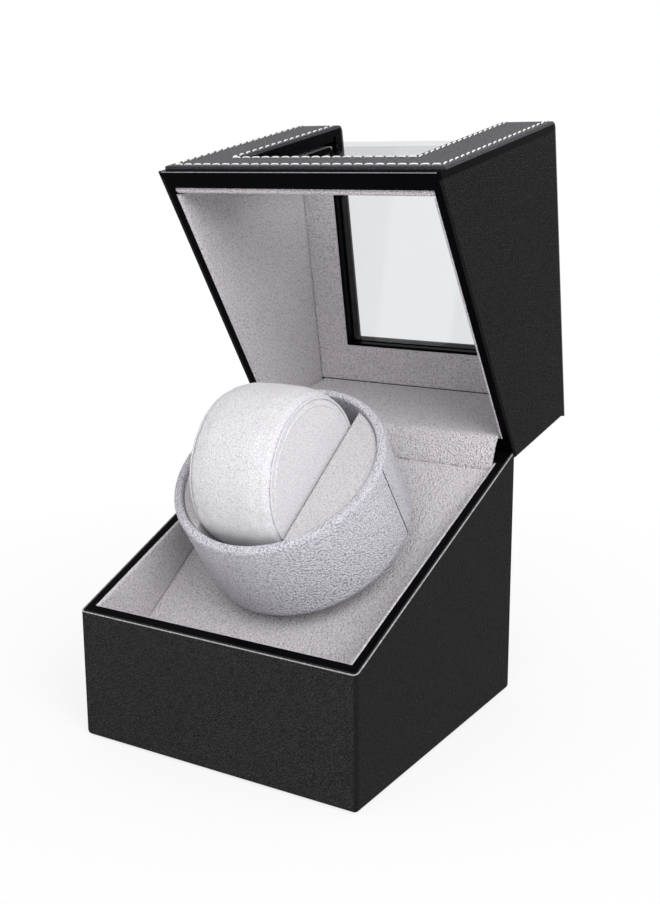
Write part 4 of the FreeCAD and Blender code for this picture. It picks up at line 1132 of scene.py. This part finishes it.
@dataclass
class BaseBox(Assembly):
    """The lower half: leather-covered boards with lacquered rims, and a lined well and deck."""

    body: ClassVar[Body] = Body.BASE
    dressed: ClassVar[Mapping[str, Sequence[str]]] = {
        "black_lacquer": (
            "base_left_board", "base_right_board", "base_front_board", "base_rear_board",
        ),
        "base_leather": ("base_leather",),
        "bare_board": ("floor_board", "corner_blocks", "deck_board"),
        "steel": ("floor_screws", "hinge_base_screws", "hinge_pins"),
        "brass": ("hinge_base_leaves",),
    }

    board_in: float = 55.8
    lining_in: float = 54.6
    front_in: float = -57.8
    rear_in: float = 52.8
    lining: float = 1.2
    side_roll: float = 0.6
    side_hold: float = 0.2
    rim_front: float = 50.0
    rim_rise: float = 0.41129
    front_face: float = -62.0
    deck_front: float = 17.6
    deck_rise: float = 0.69996
    deck_thickness: float = 1.0
    deck_roll: float = 0.7
    bush_hole: float = 5.1
    crease: float = 0.05
    seam_front: float = 0.75
    seam_rear: float = 0.25
    felt_half_width: float = 57.0
    felt_half_depth: float = 59.0
    felt_thickness: float = 0.4
    felt_roll: float = 0.2
    screw_inset: float = 5.0
    screw_hole: float = 3.05
    half_width: float = 60.0
    corner: float = 2.0
    corner_steps: int = 8
    rim_end: float = 59.4
    edge_inset: float = 0.32
    edge_radius: float = 0.26
    edge_sink: float = 0.1

    def rim(self, y: Number) -> Number:
        """The height of the sloping rim at a depth."""
        return self.rim_front + (y - self.front_face) * self.rim_rise

    def deck(self, y: float) -> float:
        """The height of the sloping deck at a depth."""
        return self.deck_front + (y - self.front_in) * self.deck_rise

    def line_walls(self) -> None:
        """Builds the linings of the sides and the front, from the deck up to the rim."""
        near, far = self.front_in, self.rear_in
        side = (
            (near, self.deck(near) + self.seam_front),
            (far, self.deck(far) + self.seam_rear),
            (far, self.rim(far)),
            (near, self.rim(near)),
        )
        for name, sign in SIDES:
            panel = Panel(
                f"{name}_well_lining", side, Across.X, sign * self.board_in, sign * self.lining_in,
                roll=self.side_roll, hold=self.side_hold,
            )
            self.hang(panel, f"base_{name}_board", f"base_{name}_lining")
        inner = near + self.lining
        half = self.lining_in - self.crease
        front = oblong(half, self.deck(inner) + self.crease, self.rim(near))
        panel = Panel("front_well_lining", front, Across.Y, near, inner)
        self.hang(panel, "base_front_board", "base_front_lining")

    def lay_deck(self) -> None:
        """Builds the deck's cloth, with a hole at the spindle's bush."""
        slope = math.radians(DECK.degrees)
        near = (self.front_in - DECK.y) / math.cos(slope)
        far = (self.rear_in - DECK.y - self.deck_thickness * math.sin(slope)) / math.cos(slope)
        panel = Panel(
            "deck_cloth", oblong(self.board_in - self.crease, near, far), Across.Z,
            -self.deck_thickness, 0.0, roll=self.deck_roll,
            holes=((0.0, 0.0, self.bush_hole),), place=DECK,
        )
        self.hang(panel, "deck_board", "deck_lining")

    def lay_felt(self) -> None:
        """Builds the felt pad under the floor, with a hole at each floor screw."""
        outline = oblong(self.felt_half_width, -self.felt_half_depth, self.felt_half_depth)
        aside = self.board_in - self.screw_inset
        holes = tuple(
            (x, y, self.screw_hole)
            for x in (-aside, aside)
            for y in (self.front_in + self.screw_inset, self.rear_in - self.screw_inset)
        )
        panel = Panel(
            "felt_sole", outline, Across.Z, self.felt_thickness, 0.0,
            roll=self.felt_roll, hold=self.felt_roll, holes=holes,
        )
        self.hang(panel, "floor_board", "felt_pad", "felt")

    def paint_rim_highlight(self) -> None:
        """Builds a painted highlight along the rim's outer edge: a thin light tube carried round
        three sides.
        """
        side = self.half_width - self.edge_inset
        front = self.front_face + self.edge_inset
        bend = self.corner - self.edge_inset
        cosines, sines = quarter(self.corner_steps)
        right = np.stack((side - bend + bend * cosines, front + bend - bend * sines), axis=-1)
        right = np.concatenate(([(side, self.rim_end)], right))
        flat = np.concatenate((right, right[::-1] * (-1, 1)))
        line = np.column_stack((flat, self.rim(flat[:, 1]) - self.edge_sink))
        # Painted highlight: a light tube where the rim's edge would catch a glint.
        shape = carried_tube("base_rim_highlight", UPRIGHT, line, self.edge_radius)
        self.settle(shape.piece(), "painted_highlight")

    def make(self) -> None:
        """Makes the linings, the felt and the painted highlight on the rim."""
        self.line_walls()
        self.lay_deck()
        self.lay_felt()
        self.paint_rim_highlight()


@dataclass
class LidBox(Assembly):
    """The upper half, drawn shut: lacquered boards under leather, a bent window, suede linings."""

    body: ClassVar[Body] = Body.LID
    dressed: ClassVar[Mapping[str, Sequence[str]]] = {
        "black_lacquer": (
            "lid_left_board", "lid_right_board", "lid_rear_board",
            "lid_front_frame", "lid_top_frame", "window_bead",
        ),
        "face_leather": ("lid_front_leather",),
        "black_leather": ("lid_leather",),
        "clear_acrylic": ("window_pane",),
        "brass": ("hinge_lid_leaves",),
        "steel": ("hinge_lid_screws",),
    }

    board_in: float = 55.8
    lining_in: float = 54.6
    plate_in: float = -54.0
    front_liner_in: float = -51.6
    rear_in: float = 52.8
    lining: float = 1.2
    top_in: float = 144.0
    top_liner_in: float = 141.6
    edge_front: float = 50.4325
    edge_rise: float = 0.41129
    front_face: float = -62.0
    window_half: float = 39.6
    window_sill: float = 73.3
    window_rear: float = 34.6
    seam_gap: float = 0.35
    tuck: float = 0.25
    lip_roll: float = 1.5
    arris_in: float = 1.5
    arris_sink: float = 0.12
    arris_radius: float = 0.2
    arris_end: float = 58.6
    arris_points: int = 3

    def edge(self, y: float) -> float:
        """The height of the lid's sloping edge at a depth."""
        return self.edge_front + (y - self.front_face) * self.edge_rise

    def paint_arris_highlight(self) -> None:
        """Builds a painted highlight just inside the mouth's front: a thin light tube carried
        across, standing in for a glint on the flange's arris.
        """
        depth = self.front_face + self.arris_in
        line = np.empty((self.arris_points, 3))
        line[:, 0] = np.linspace(-self.arris_end, self.arris_end, self.arris_points)
        line[:, 1:] = depth, self.edge(depth) + self.arris_sink
        # Painted highlight: a light tube where the flange's arris would catch a glint.
        shape = carried_tube("lid_arris_highlight", LID, line, self.arris_radius)
        self.settle(shape.piece(), "painted_highlight")

    def line_window(self) -> None:
        """Builds the two thick liners round the window, each cut out like a U."""
        wide, hole, sill = self.board_in, self.window_half, self.window_sill
        low, high = self.edge(self.front_liner_in), self.top_in
        front = (
            (-wide, low), (wide, low), (wide, high), (hole, high),
            (hole, sill), (-hole, sill), (-hole, high), (-wide, high),
        )
        panel = Panel(
            "front_window_lining", front, Across.Y, self.plate_in, self.front_liner_in,
            roll=self.lip_roll, place=LID,
        )
        self.hang(panel, "lid_front_frame", "lid_front_liner")
        near, back = self.front_liner_in, self.window_rear
        far = self.rear_in - self.lining + self.seam_gap / 2
        top = (
            (-wide, near), (-hole, near), (-hole, back), (hole, back),
            (hole, near), (wide, near), (wide, far), (-wide, far),
        )
        panel = Panel(
            "top_window_lining", top, Across.Z, self.top_in, self.top_liner_in, place=LID
        )
        self.hang(panel, "lid_top_frame", "lid_top_liner")

    def line_walls(self) -> None:
        """Builds the linings of the sides and the rear."""
        near, far = self.front_liner_in + self.seam_gap, self.rear_in
        high = self.top_liner_in - self.seam_gap
        side = ((near, self.edge(near)), (far, self.edge(far)), (far, high), (near, high))
        for name, sign in SIDES:
            panel = Panel(
                f"{name}_lid_cloth", side, Across.X, sign * self.board_in, sign * self.lining_in,
                place=LID,
            )
            self.hang(panel, f"lid_{name}_board", f"lid_{name}_lining")
        half = self.lining_in - self.seam_gap
        rear = oblong(half, self.edge(far), self.top_liner_in + self.tuck)
        panel = Panel("rear_lid_cloth", rear, Across.Y, far, far - self.lining, place=LID)
        self.hang(panel, "lid_rear_board", "lid_rear_lining")

    def make(self) -> None:
        """Makes the linings and the painted highlight."""
        self.line_window()
        self.line_walls()
        self.paint_arris_highlight()


@dataclass
class StitchedFace(Assembly):
    """The stitching of the lid's front and top leather: two closed rows that run over the bend."""

    body: ClassVar[Body] = Body.LID

    front: float = -62.0
    top: float = 152.0
    bend: float = 3.0
    half_width: float = 60.0
    bottom: float = 55.43
    rear: float = 62.0
    window_half: float = 38.4
    window_sill: float = 74.5
    window_rear: float = 33.4
    outer_margin: float = 2.6
    window_margin: float = 2.1
    pitch: float = 4.5
    length: float = 3.8
    radius: float = 0.33
    slant: float = 7.0
    steps: int = 7
    sides: int = 6
    thinning: float = 0.85
    arch: float = 0.75
    arch_drop: float = 1.35
    hole_sides: int = 8
    hole_dish: tuple[Pair, ...] = ((0.42, 0.03), (0.3, 0.05), (0.12, 0.02))

    def bend_start(self) -> float:
        """How far up the face the bend begins."""
        return self.top - self.bend

    def over(self, depth: float) -> float:
        """The way up the front and over the bend to a depth on the top."""
        return self.bend_start() + self.bend * math.pi / 2 + (depth - self.front - self.bend)

    def wrap(self, x: Array, way: Array, lift: Array) -> Array:
        """Lays points on the leather: up the front, round the quarter bend and back over the top.

        Args:
            x: The places across.
            way: The ways up and over.
            lift: The heights over the leather.

        Returns:
            Points in the shut lid's place.
        """
        turn = np.clip((way - self.bend_start()) / self.bend, 0.0, math.pi / 2)
        below = np.minimum(way - self.bend_start(), 0.0)
        beyond = np.maximum(way - self.bend_start() - self.bend * math.pi / 2, 0.0)
        reach = self.bend + lift
        y = self.front + self.bend - reach * np.cos(turn) + beyond
        z = self.bend_start() + below + reach * np.sin(turn)
        return np.stack(np.broadcast_arrays(x, y, z), axis=-1)

    def row(self, half: float, low: float, high: float) -> tuple[Array, Array]:
        """Spaces stitches round a rectangle on the unrolled leather.

        Args:
            half: Half its width.
            low: Its lower end.
            high: Its upper end.

        Returns:
            The stitches' middles and directions on the unrolled leather.
        """
        corners = np.array(oblong(half, low, high))
        sides = np.roll(corners, -1, axis=0) - corners
        lengths = np.linalg.norm(sides, axis=1)
        counts = np.maximum(np.round(lengths / self.pitch).astype(int), 1)
        which = np.repeat(np.arange(len(corners)), counts)
        first = np.repeat(np.concatenate(([0], np.cumsum(counts)[:-1])), counts)
        share = (np.arange(len(which)) - first + 0.5) / counts[which]
        middles = corners[which] + sides[which] * share[:, None]
        return middles, unit(sides)[which]

    def scatter(
        self, name: str, finish: str, spots: Array, ways: Array,
        along: Array, aside: Array, lift: Array,
    ) -> None:
        """Builds a copy of one small tube at each spot, and lays it on the leather.

        A point is its spot, plus its step along the spot's direction, plus its step to the left.

        Args:
            name: The piece's name.
            finish: The name of its finish.
            spots: The tubes' middles on the unrolled leather.
            ways: Their directions there.
            along: The steps along the direction, as rows by columns.
            aside: The steps to the left, as rows by columns.
            lift: The heights over the leather, as rows by columns.
        """
        flat = spots[:, None, None] + along[None, ..., None] * ways[:, None, None]
        flat = flat + aside[None, ..., None] * left_of(ways)[:, None, None]
        shape = Shape(name, LID)
        shape.copies(self.wrap(flat[..., 0], flat[..., 1], lift))
        self.settle(shape.piece(), finish)

    def make(self) -> None:
        """Makes the stitches and their needle holes.

        A stitch is a tube along its slanted direction that thins to its ends, and its height over
        the leather is a low arch. A hole is a shallow dish between two stitches, coloured dark as
        painted shade of the hole.
        """
        outer = self.row(
            self.half_width - self.outer_margin,
            self.bottom + self.outer_margin,
            self.over(self.rear - self.outer_margin),
        )
        inner = self.row(
            self.window_half + self.window_margin,
            self.window_sill - self.window_margin,
            self.over(self.window_rear + self.window_margin),
        )
        middles, ahead = (np.concatenate(pair) for pair in zip(outer, inner))
        lean = math.radians(self.slant)
        ways = ahead * math.cos(lean) + left_of(ahead) * math.sin(lean)
        share = np.linspace(-1.0, 1.0, self.steps)[:, None]
        thick = self.radius * np.sqrt(1.0 - self.thinning * share ** 4)
        arch = self.radius * (self.arch - self.arch_drop * share ** 4)
        across, upwards = circle(1.0, self.sides).T
        self.scatter(
            "lid_stitches", "thread", middles, ways,
            self.length / 2 * share, thick * across, arch + thick * upwards,
        )
        # Painted shade: each needle hole is a flat dark dish standing in for the shade inside the
        # hole.
        holes = middles + ahead * self.pitch / 2
        radius, height = np.array(self.hole_dish).T[..., None]
        forwards, sideways = circle(1.0, self.hole_sides).T
        self.scatter(
            "lid_needle_holes", "needle_hole", holes, ways,
            radius * forwards, radius * sideways, height,
        )


@dataclass
class HingeCloth(Assembly):
    """The lining cloth that bridges the hinge from the deck's rear edge to the lid's lining.

    Its start and end points are in metres; nothing reads them.
    """

    foot: Pair = (51.9, 94.3)
    pull: Pair = (51.9, 98.8)
    head: Pair = (56.8, 107.0)
    thickness: float = 1.0
    taper: float = 0.5
    taper_end: float = 0.15
    half_width: float = 54.3
    steps: int = 40
    start: Point = (0.0, 0.0525, 0.0965)
    end: Point = (0.0, 0.0573, 0.1070)

    def make(self) -> None:
        """Makes the cloth: a thin strip's outline along a curve with one pull, carried across."""
        share = np.linspace(0.0, 1.0, self.steps)[:, None]
        foot, pull, head = (np.array(point) for point in (self.foot, self.pull, self.head))
        line = foot * (1 - share) ** 2 + pull * 2 * share * (1 - share) + head * share ** 2
        parts = np.linalg.norm(np.diff(line, axis=0), axis=1)
        along = np.concatenate(([0.0], np.cumsum(parts)))
        near_end = np.minimum(along, along[-1] - along)
        thin = np.minimum(1.0, np.sqrt(near_end / self.taper + self.taper_end))
        half = left_of(unit(np.gradient(line, axis=0))) * (self.thickness / 2 * thin)[:, None]
        outline = np.concatenate((line + half, (line - half)[::-1]))
        grid = np.empty((2, len(outline), 3))
        grid[..., 0] = ((-self.half_width,), (self.half_width,))
        grid[..., 1:] = outline
        shape = Shape("hinge_cloth")
        rows = shape.surface(grid, around=True)
        shape.cap([rows[1]], [outline])
        shape.cap([rows[0]], [outline], flip=True)
        piece = shape.piece()
        bpy.context.view_layer.update()
        self.cover(piece, "lining_suede", "hinge_gusset")
        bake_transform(piece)
        log.info("piece %s: crosses the hinge", piece.name)


@dataclass
class Cup(Assembly):
    """The turning cup: a suede sleeve with a rolled lip, and two cheeks that leave a slot."""

    body: ClassVar[Body] = Body.CUP
    dressed: ClassVar[Mapping[str, Sequence[str]]] = {
        "cup_suede": ("cup_shell",),
        "white_plastic": ("cup_hub", "output_gear"),
        "steel": ("spindle", "hub_screw", "spindle_clip"),
    }

    radius: float = 41.4
    shell_out: float = 40.4
    shell_in: float = 37.9
    foot_low: float = 8.6
    foot_round: float = 4.5
    hem_in: float = 34.5
    shell_low: float = 9.2
    shell_bevel: float = 4.0
    shell_top: float = 47.0
    top: float = 48.0
    lip_out: float = 1.7
    lip_in: float = 1.0
    round_steps: int = 10
    wall_rows: int = 26
    wall_clear: float = 0.2
    sleeve_steps: int = 180
    sleeve_start: float = 0.06
    sleeve_length: float = 48.0
    seam_turn: float = 9.0
    seam_depth: float = 0.92
    seam_width: float = 0.3
    seam_reach: float = 0.05
    seam_steps: int = 41
    seam_start: float = 45.6
    seam_fade: float = 0.8
    # The radius of the dark tube in the seam's groove, which is painted shade.
    painted_seam_shade: float = 0.22
    seam_sink: float = 0.25
    floor_top: float = 13.2
    cheek_top: float = 46.2
    cheek_radius: float = 37.85
    cheek_steps: int = 45
    cheek_roll: float = 0.9
    slot_half: float = 18.3
    corner_room: float = 0.1

    def sleeve_profile(self) -> Array:
        """Draws the sleeve's closed outline: under the cup, round its foot, up and over the lip.

        Returns:
            Pairs of radius and height.
        """
        cosines, sines = quarter(self.round_steps)
        foot_in, foot_top = self.radius - self.foot_round, self.foot_low + self.foot_round
        foot = (foot_in + self.foot_round * sines, self.foot_low + self.foot_round * (1 - cosines))
        rise = np.linspace(foot_top, self.top - self.lip_out, self.wall_rows)[1:-1]
        wall = np.broadcast_arrays(self.radius, rise)
        outer = (self.radius - self.lip_out * (1 - cosines), self.top - self.lip_out * (1 - sines))
        inner = (self.shell_in + self.lip_in * (1 - sines), self.top - self.lip_in * (1 - cosines))
        hidden = (
            (self.shell_out, self.shell_top),
            (self.shell_out, self.shell_low + self.shell_bevel),
            (self.shell_out - self.shell_bevel, self.shell_low),
            (self.hem_in, self.shell_low),
            (self.hem_in, self.foot_low),
        )
        shown = [np.stack(pair, axis=-1) for pair in (foot, wall, outer, inner)]
        return np.concatenate((*shown, hidden))

    def wrap_sleeve(self) -> None:
        """Builds the sleeve and a dark line in its seam that is painted shade of the groove.

        The sleeve is its outline turned about the spindle. At the seam a groove is pressed in,
        whose depth falls off as a bell curve to each side. The painted shade is a thin dark tube
        carried down the groove.
        """
        middle = math.radians(self.seam_turn)
        plain = np.linspace(self.sleeve_start, 2 * math.pi - self.sleeve_start, self.sleeve_steps)
        close = np.linspace(-self.seam_reach, self.seam_reach, self.seam_steps)
        turn = middle + np.concatenate((close, plain))
        profile = self.sleeve_profile()
        gap = (np.mod(turn - middle + math.pi, 2 * math.pi) - math.pi) * self.radius
        groove = self.seam_depth * np.exp(-((gap / self.seam_width) ** 2))
        outside = profile[:, 0] > self.shell_out + self.wall_clear
        below = np.clip((self.seam_start - profile[:, 1]) / self.seam_fade, 0.0, 1.0)
        radius = profile[:, :1] - (below * outside)[:, None] * groove[None]
        height = np.broadcast_to(profile[:, 1:], radius.shape)
        grid = np.stack((radius * np.cos(turn), radius * np.sin(turn), height), axis=-1)
        shape = Shape("cup_wrap", DECK)
        shape.surface(grid, around=True, along=True)
        piece = self.settle(shape.piece(), "cup_suede", "cup_sleeve")
        wall = profile[(profile[:, 1] < self.seam_start) & outside]
        reach = wall[:, 0] - self.seam_sink
        line = np.column_stack((reach * math.cos(middle), reach * math.sin(middle), wall[:, 1]))
        # Painted shade: a dark tube down the groove stands in for the groove's shadow.
        shape = carried_tube("cup_seam_shade", DECK, line, self.painted_seam_shade)
        self.settle(shape.piece(), "painted_seam_shade")

    def pad_cheeks(self) -> None:
        """Builds the two cheeks: a circle's segment carried up and rolled over at the top."""
        limit = math.acos(self.slot_half / self.cheek_radius)
        inner = limit - self.corner_room
        turn = np.concatenate(([-limit], np.linspace(-inner, inner, self.cheek_steps), [limit]))
        arc = self.cheek_radius * np.stack((np.cos(turn), np.sin(turn)), axis=-1)
        for name, sign in SIDES:
            panel = Panel(
                f"{name}_cheek_pad", (arc * (sign, 1.0)).tolist(), Across.Z,
                self.floor_top, self.cheek_top, roll=self.cheek_roll, place=DECK,
            )
            piece = self.settle(panel.build(), "cheek_suede", f"cup_{name}_cheek")

    def make(self) -> None:
        """Makes the sleeve and the cheeks."""
        self.wrap_sleeve()
        self.pad_cheeks()


@dataclass
class Cushion(Assembly):
    """The round cushion across the cup: a stuffed drum with two rows of piping at each end."""

    body: ClassVar[Body] = Body.CUSHION

    radius: float = 31.0
    half_width: float = 17.2
    shoulder: float = 2.6
    shoulder_steps: int = 6
    crown: float = 0.4
    band_rows: int = 9
    end_rows: int = 12
    end_outer: float = 0.9
    end_inner: float = 0.02
    drum_steps: int = 96
    middle_y: float = -2.0
    middle_z: float = 48.0
    voxel: float = 1.9
    swell: float = 0.9
    flat_end: float = 17.4
    scale: float = 14.0
    pressure: float = 4.0
    frames: int = 20
    piping: tuple[float, ...] = (25.4, 28.0)
    piping_radius: float = 0.42
    piping_sink: float = 0.1
    piping_sides: int = 10
    piping_steps: int = 120

    def turned(self, across: Array, radius: Array, steps: int) -> Array:
        """Turns a profile about the drum's axis, which runs along X.

        Args:
            across: Where each point of the profile lies along the axis.
            radius: How far it lies from the axis.
            steps: The number of steps round.

        Returns:
            Points as profile by steps by three, in the deck's place.
        """
        cosines, sines = circle(1.0, steps).T
        y = self.middle_y + radius[:, None] * cosines
        z = self.middle_z + radius[:, None] * sines
        return np.stack(np.broadcast_arrays(across[:, None], y, z), axis=-1)

    def drum(self) -> Array:
        """Draws the unstuffed drum: a crowned band with rounded shoulders and flat ends.

        Returns:
            Points as rows along the width by columns round it, in the deck's place.
        """
        cosines, sines = quarter(self.shoulder_steps)
        edge = self.half_width - self.shoulder
        shoulder = (edge + self.shoulder * sines, self.radius - self.shoulder * (1 - cosines))
        shrink = np.linspace(self.end_outer, self.end_inner, self.end_rows)
        disc = np.broadcast_arrays(self.half_width, shrink * self.radius)
        band = np.linspace(0.0, edge, self.band_rows)[:-1]
        middle = (band, self.radius + self.crown * (1 - (band / edge) ** 2))
        right = np.concatenate([np.stack(pair, axis=-1) for pair in (middle, shoulder, disc)])
        profile = np.concatenate((right[:0:-1] * (-1.0, 1.0), right))
        return self.turned(profile[:, 0], profile[:, 1], self.drum_steps)

    def stuffed(self, start: bpy.types.Object) -> bpy.types.Object:
        """Swells the drum as cloth under pressure, many times life size so that it moves well.

        Args:
            start: The unstuffed drum, which is used up.

        Returns:
            The swollen drum, in the deck's place, in millimetres.
        """
        scene = bpy.context.scene
        enlarged = self.scale * MM
        start.data.transform(Matrix.Scale(enlarged, 4))
        remesh = start.modifiers.new("even", "REMESH")
        remesh.mode = "VOXEL"
        remesh.voxel_size = self.voxel * self.scale * MM
        graph = bpy.context.evaluated_depsgraph_get()
        mesh = bpy.data.meshes.new_from_object(start.evaluated_get(graph))
        bpy.data.objects.remove(start)
        piece = bpy.data.objects.new("cushion_drum", mesh)
        scene.collection.objects.link(piece)
        before = np.empty(3 * len(mesh.vertices))
        mesh.vertices.foreach_get("co", before)
        cloth = piece.modifiers.new("stuffing", "CLOTH")
        cloth.settings.use_pressure = True
        cloth.settings.uniform_pressure_force = self.pressure
        cloth.settings.effector_weights.gravity = 0.0
        cloth.point_cache.frame_start = 1
        cloth.point_cache.frame_end = self.frames
        for number in range(1, self.frames + 1):
            scene.frame_set(number)
        graph = bpy.context.evaluated_depsgraph_get()
        after = np.empty_like(before)
        piece.evaluated_get(graph).data.vertices.foreach_get("co", after)
        scene.frame_set(1)
        piece.modifiers.remove(cloth)
        before = before.reshape(-1, 3) / enlarged
        step = after.reshape(-1, 3) / enlarged - before
        far = np.linalg.norm(step, axis=1, keepdims=True)
        log.info("cushion swells by %.2f mm at most before the cap", far.max())
        swollen = before + step * np.minimum(1.0, self.swell / np.maximum(far, TINY))
        swollen[:, 0] = np.clip(swollen[:, 0], -self.flat_end, self.flat_end)
        mesh.vertices.foreach_set("co", swollen.ravel())
        return piece

    def stuff_drum(self) -> None:
        """Builds the drum, stuffs it and softens it."""
        drum = self.drum()
        shape = Shape("cushion_start")
        rows = shape.surface(drum / MM, around=True, flip=True)
        shape.cap([rows[0]], [drum[0, :, 1:]], flip=True)
        shape.cap([rows[-1]], [drum[-1, :, 1:]])
        start = shape.piece()
        piece = self.stuffed(start)
        piece.name = "cushion_drum"
        mesh = piece.data
        points = np.empty(3 * len(mesh.vertices))
        mesh.vertices.foreach_get("co", points)
        points = DECK.out(points.reshape(-1, 3)) * MM
        mesh.vertices.foreach_set("co", points.ravel())
        mesh.update()
        mesh.shade_smooth()
        softer = piece.modifiers.new("softer", "SUBSURF")
        softer.levels = 1
        softer.render_levels = 1
        self.settle(piece, "cushion_suede", "cushion")

    def pipe(self) -> None:
        """Builds the piping: thin rings that lie half sunk in the drum's flat ends."""
        outwards, upwards = circle(self.piping_radius, self.piping_sides).T
        shape = Shape("cushion_piping", DECK)
        for _, sign in SIDES:
            for ring in self.piping:
                across = sign * (self.flat_end - self.piping_sink) + upwards
                grid = self.turned(across, ring + outwards, self.piping_steps)
                shape.surface(grid, around=True, along=True, flip=True)
        self.settle(shape.piece(), "cushion_suede")

    def make(self) -> None:
        """Makes the stuffed drum and its piping."""
        self.stuff_drum()
        self.pipe()


@dataclass
class Works(Assembly):
    """The drive, the electric parts and the rear fittings, which are kept as the frame has them."""

    dressed: ClassVar[Mapping[str, Sequence[str]]] = {
        "brass": ("spindle_bush", "bracket_standoffs", "motor_pinion"),
        "steel": ("motor_bracket", "bracket_screws", "gearbox", "motor_can", "gearbox_shaft"),
        "white_plastic": ("thrust_washer", "board_posts"),
        "circuit_board": ("control_board",),
        "black_plastic": ("power_jack", "switch_housing"),
        "rocker_plastic": ("power_rocker",),
        "wire": ("motor_lead", "switch_lead"),
    }


@dataclass(frozen=True)
class Lamp:
    """A square soft lamp, with its place and its side in metres and its power in watts."""

    name: str
    where: Point
    size: float
    power: float

    def build(self, aim: Point) -> None:
        """Adds the lamp.

        Args:
            aim: The point that it faces, in metres.
        """
        data = bpy.data.lights.new(self.name, "AREA")
        data.size = self.size
        data.energy = self.power
        lamp = bpy.data.objects.new(self.name, data)
        lamp.location = self.where
        facing = Vector(aim) - Vector(self.where)
        lamp.rotation_euler = facing.to_track_quat("-Z", "Y").to_euler()
        bpy.context.scene.collection.objects.link(lamp)


@dataclass
class Studio:
    """A pale floor, soft light from the front right, a white surround and the photo's camera."""

    lamps: ClassVar[Sequence[Lamp]] = (
        Lamp("key", (1.45, -1.05, 1.2), 1.3, 39.0),
        Lamp("fill", (0.4, -1.8, 1.2), 0.8, 10.0),
    )

    where: Point = (258.0, -397.0, 215.0)
    around: float = 31.81
    above: float = 13.01
    roll: float = -0.29
    focal: float = 1280.0
    image_height: float = 904.0
    sensor: float = 36.0
    clip: float = 0.01
    aim: Point = (0.0, 0.02, 0.1)
    glow: float = 0.62
    floor_half: float = 4000.0
    floor_cloud: float = 60.0
    floor_shade: Colour = (0.80, 0.80, 0.80)
    floor_light: Colour = (0.82, 0.82, 0.82)
    floor_roughness: float = 0.9
    floor_gloss: float = 0.1
    floor_white: float = 0.72
    floor_whiter: float = 0.8

    def set_camera(self) -> None:
        """Sets the camera by its turn round the box, its tilt and its roll."""
        a, e, r = (math.radians(angle) for angle in (self.around, self.above, self.roll))
        back = Vector((math.sin(a) * math.cos(e), -math.cos(a) * math.cos(e), math.sin(e)))
        level = Vector((math.cos(a), math.sin(a), 0.0))
        upright = back.cross(level)
        right = math.cos(r) * level + math.sin(r) * upright
        up = math.cos(r) * upright - math.sin(r) * level
        lens = bpy.data.cameras.new("photo_camera")
        lens.sensor_fit = "AUTO"
        lens.sensor_width = self.sensor
        lens.lens = self.sensor * self.focal / self.image_height
        lens.clip_start = self.clip
        camera = bpy.data.objects.new("photo_camera", lens)
        turned = Matrix((right, up, back)).transposed().to_4x4()
        camera.matrix_world = Matrix.Translation(Vector(self.where) * MM) @ turned
        bpy.context.scene.collection.objects.link(camera)
        bpy.context.scene.camera = camera

    def lay_floor(self) -> None:
        """Lays a wide floor that looks almost white and still takes the shadow."""
        shape = Shape("studio_floor")
        side = np.array((-self.floor_half, self.floor_half))
        x, y = np.meshgrid(side, side)
        shape.surface(np.stack((x, y, np.zeros_like(x)), axis=-1))
        floor = shape.piece()
        shader, here = Shader.started("studio_floor")
        clouds = shader.noise(here, self.floor_cloud)
        paper = shader.surface(
            {
                "Base Color": shader.between(clouds, self.floor_shade, self.floor_light),
                "Roughness": self.floor_roughness,
                "Specular IOR Level": self.floor_gloss,
            }
        )
        white = shader.signal(shader.node("ShaderNodeEmission", None, {"Color": WHITE}))
        away = shader.vector("LENGTH", {0: here}, "Value")
        share = shader.seen() * (self.floor_white + away * self.floor_whiter).at_most(1.0)
        floor.data.materials.append(shader.finish(shader.mixed(share, paper, white)))

    def light(self) -> None:
        """Sets a surround that is white where it is seen and softer as light, and the lamps."""
        shader = Shader(bpy.data.worlds.new("studio"))
        glow, white = (
            shader.signal(
                shader.node("ShaderNodeBackground", None, {"Color": WHITE, "Strength": strength})
            )
            for strength in (self.glow, 1.0)
        )
        bpy.context.scene.world = shader.finish(shader.mixed(shader.seen(), glow, white))
        for lamp in self.lamps:
            lamp.build(self.aim)

    def build(self) -> None:
        """Builds the studio."""
        self.set_camera()
        self.lay_floor()
        self.light()
        bpy.context.scene.view_settings.view_transform = "Standard"


def write_size() -> None:
    """Defines a helper that gives a box's corners as plain lists; nothing is written."""
    def plain(box: Sequence[Sequence[float]]) -> list[list[float]]:
        """A box's corners as plain lists."""
        return [[float(number) for number in corner] for corner in box]


def main() -> None:
    """Builds the studio and each part of the box in order."""
    logging.basicConfig(level=logging.INFO, format="%(message)s")
    Studio().build()
    finishes = Finishes()
    for part in (BaseBox, LidBox, StitchedFace, HingeCloth, Cup, Cushion, Works):
        part(finishes).build()
        log.info("built %s", part.__name__)
    write_size()


if __name__ == "__main__":
    main()
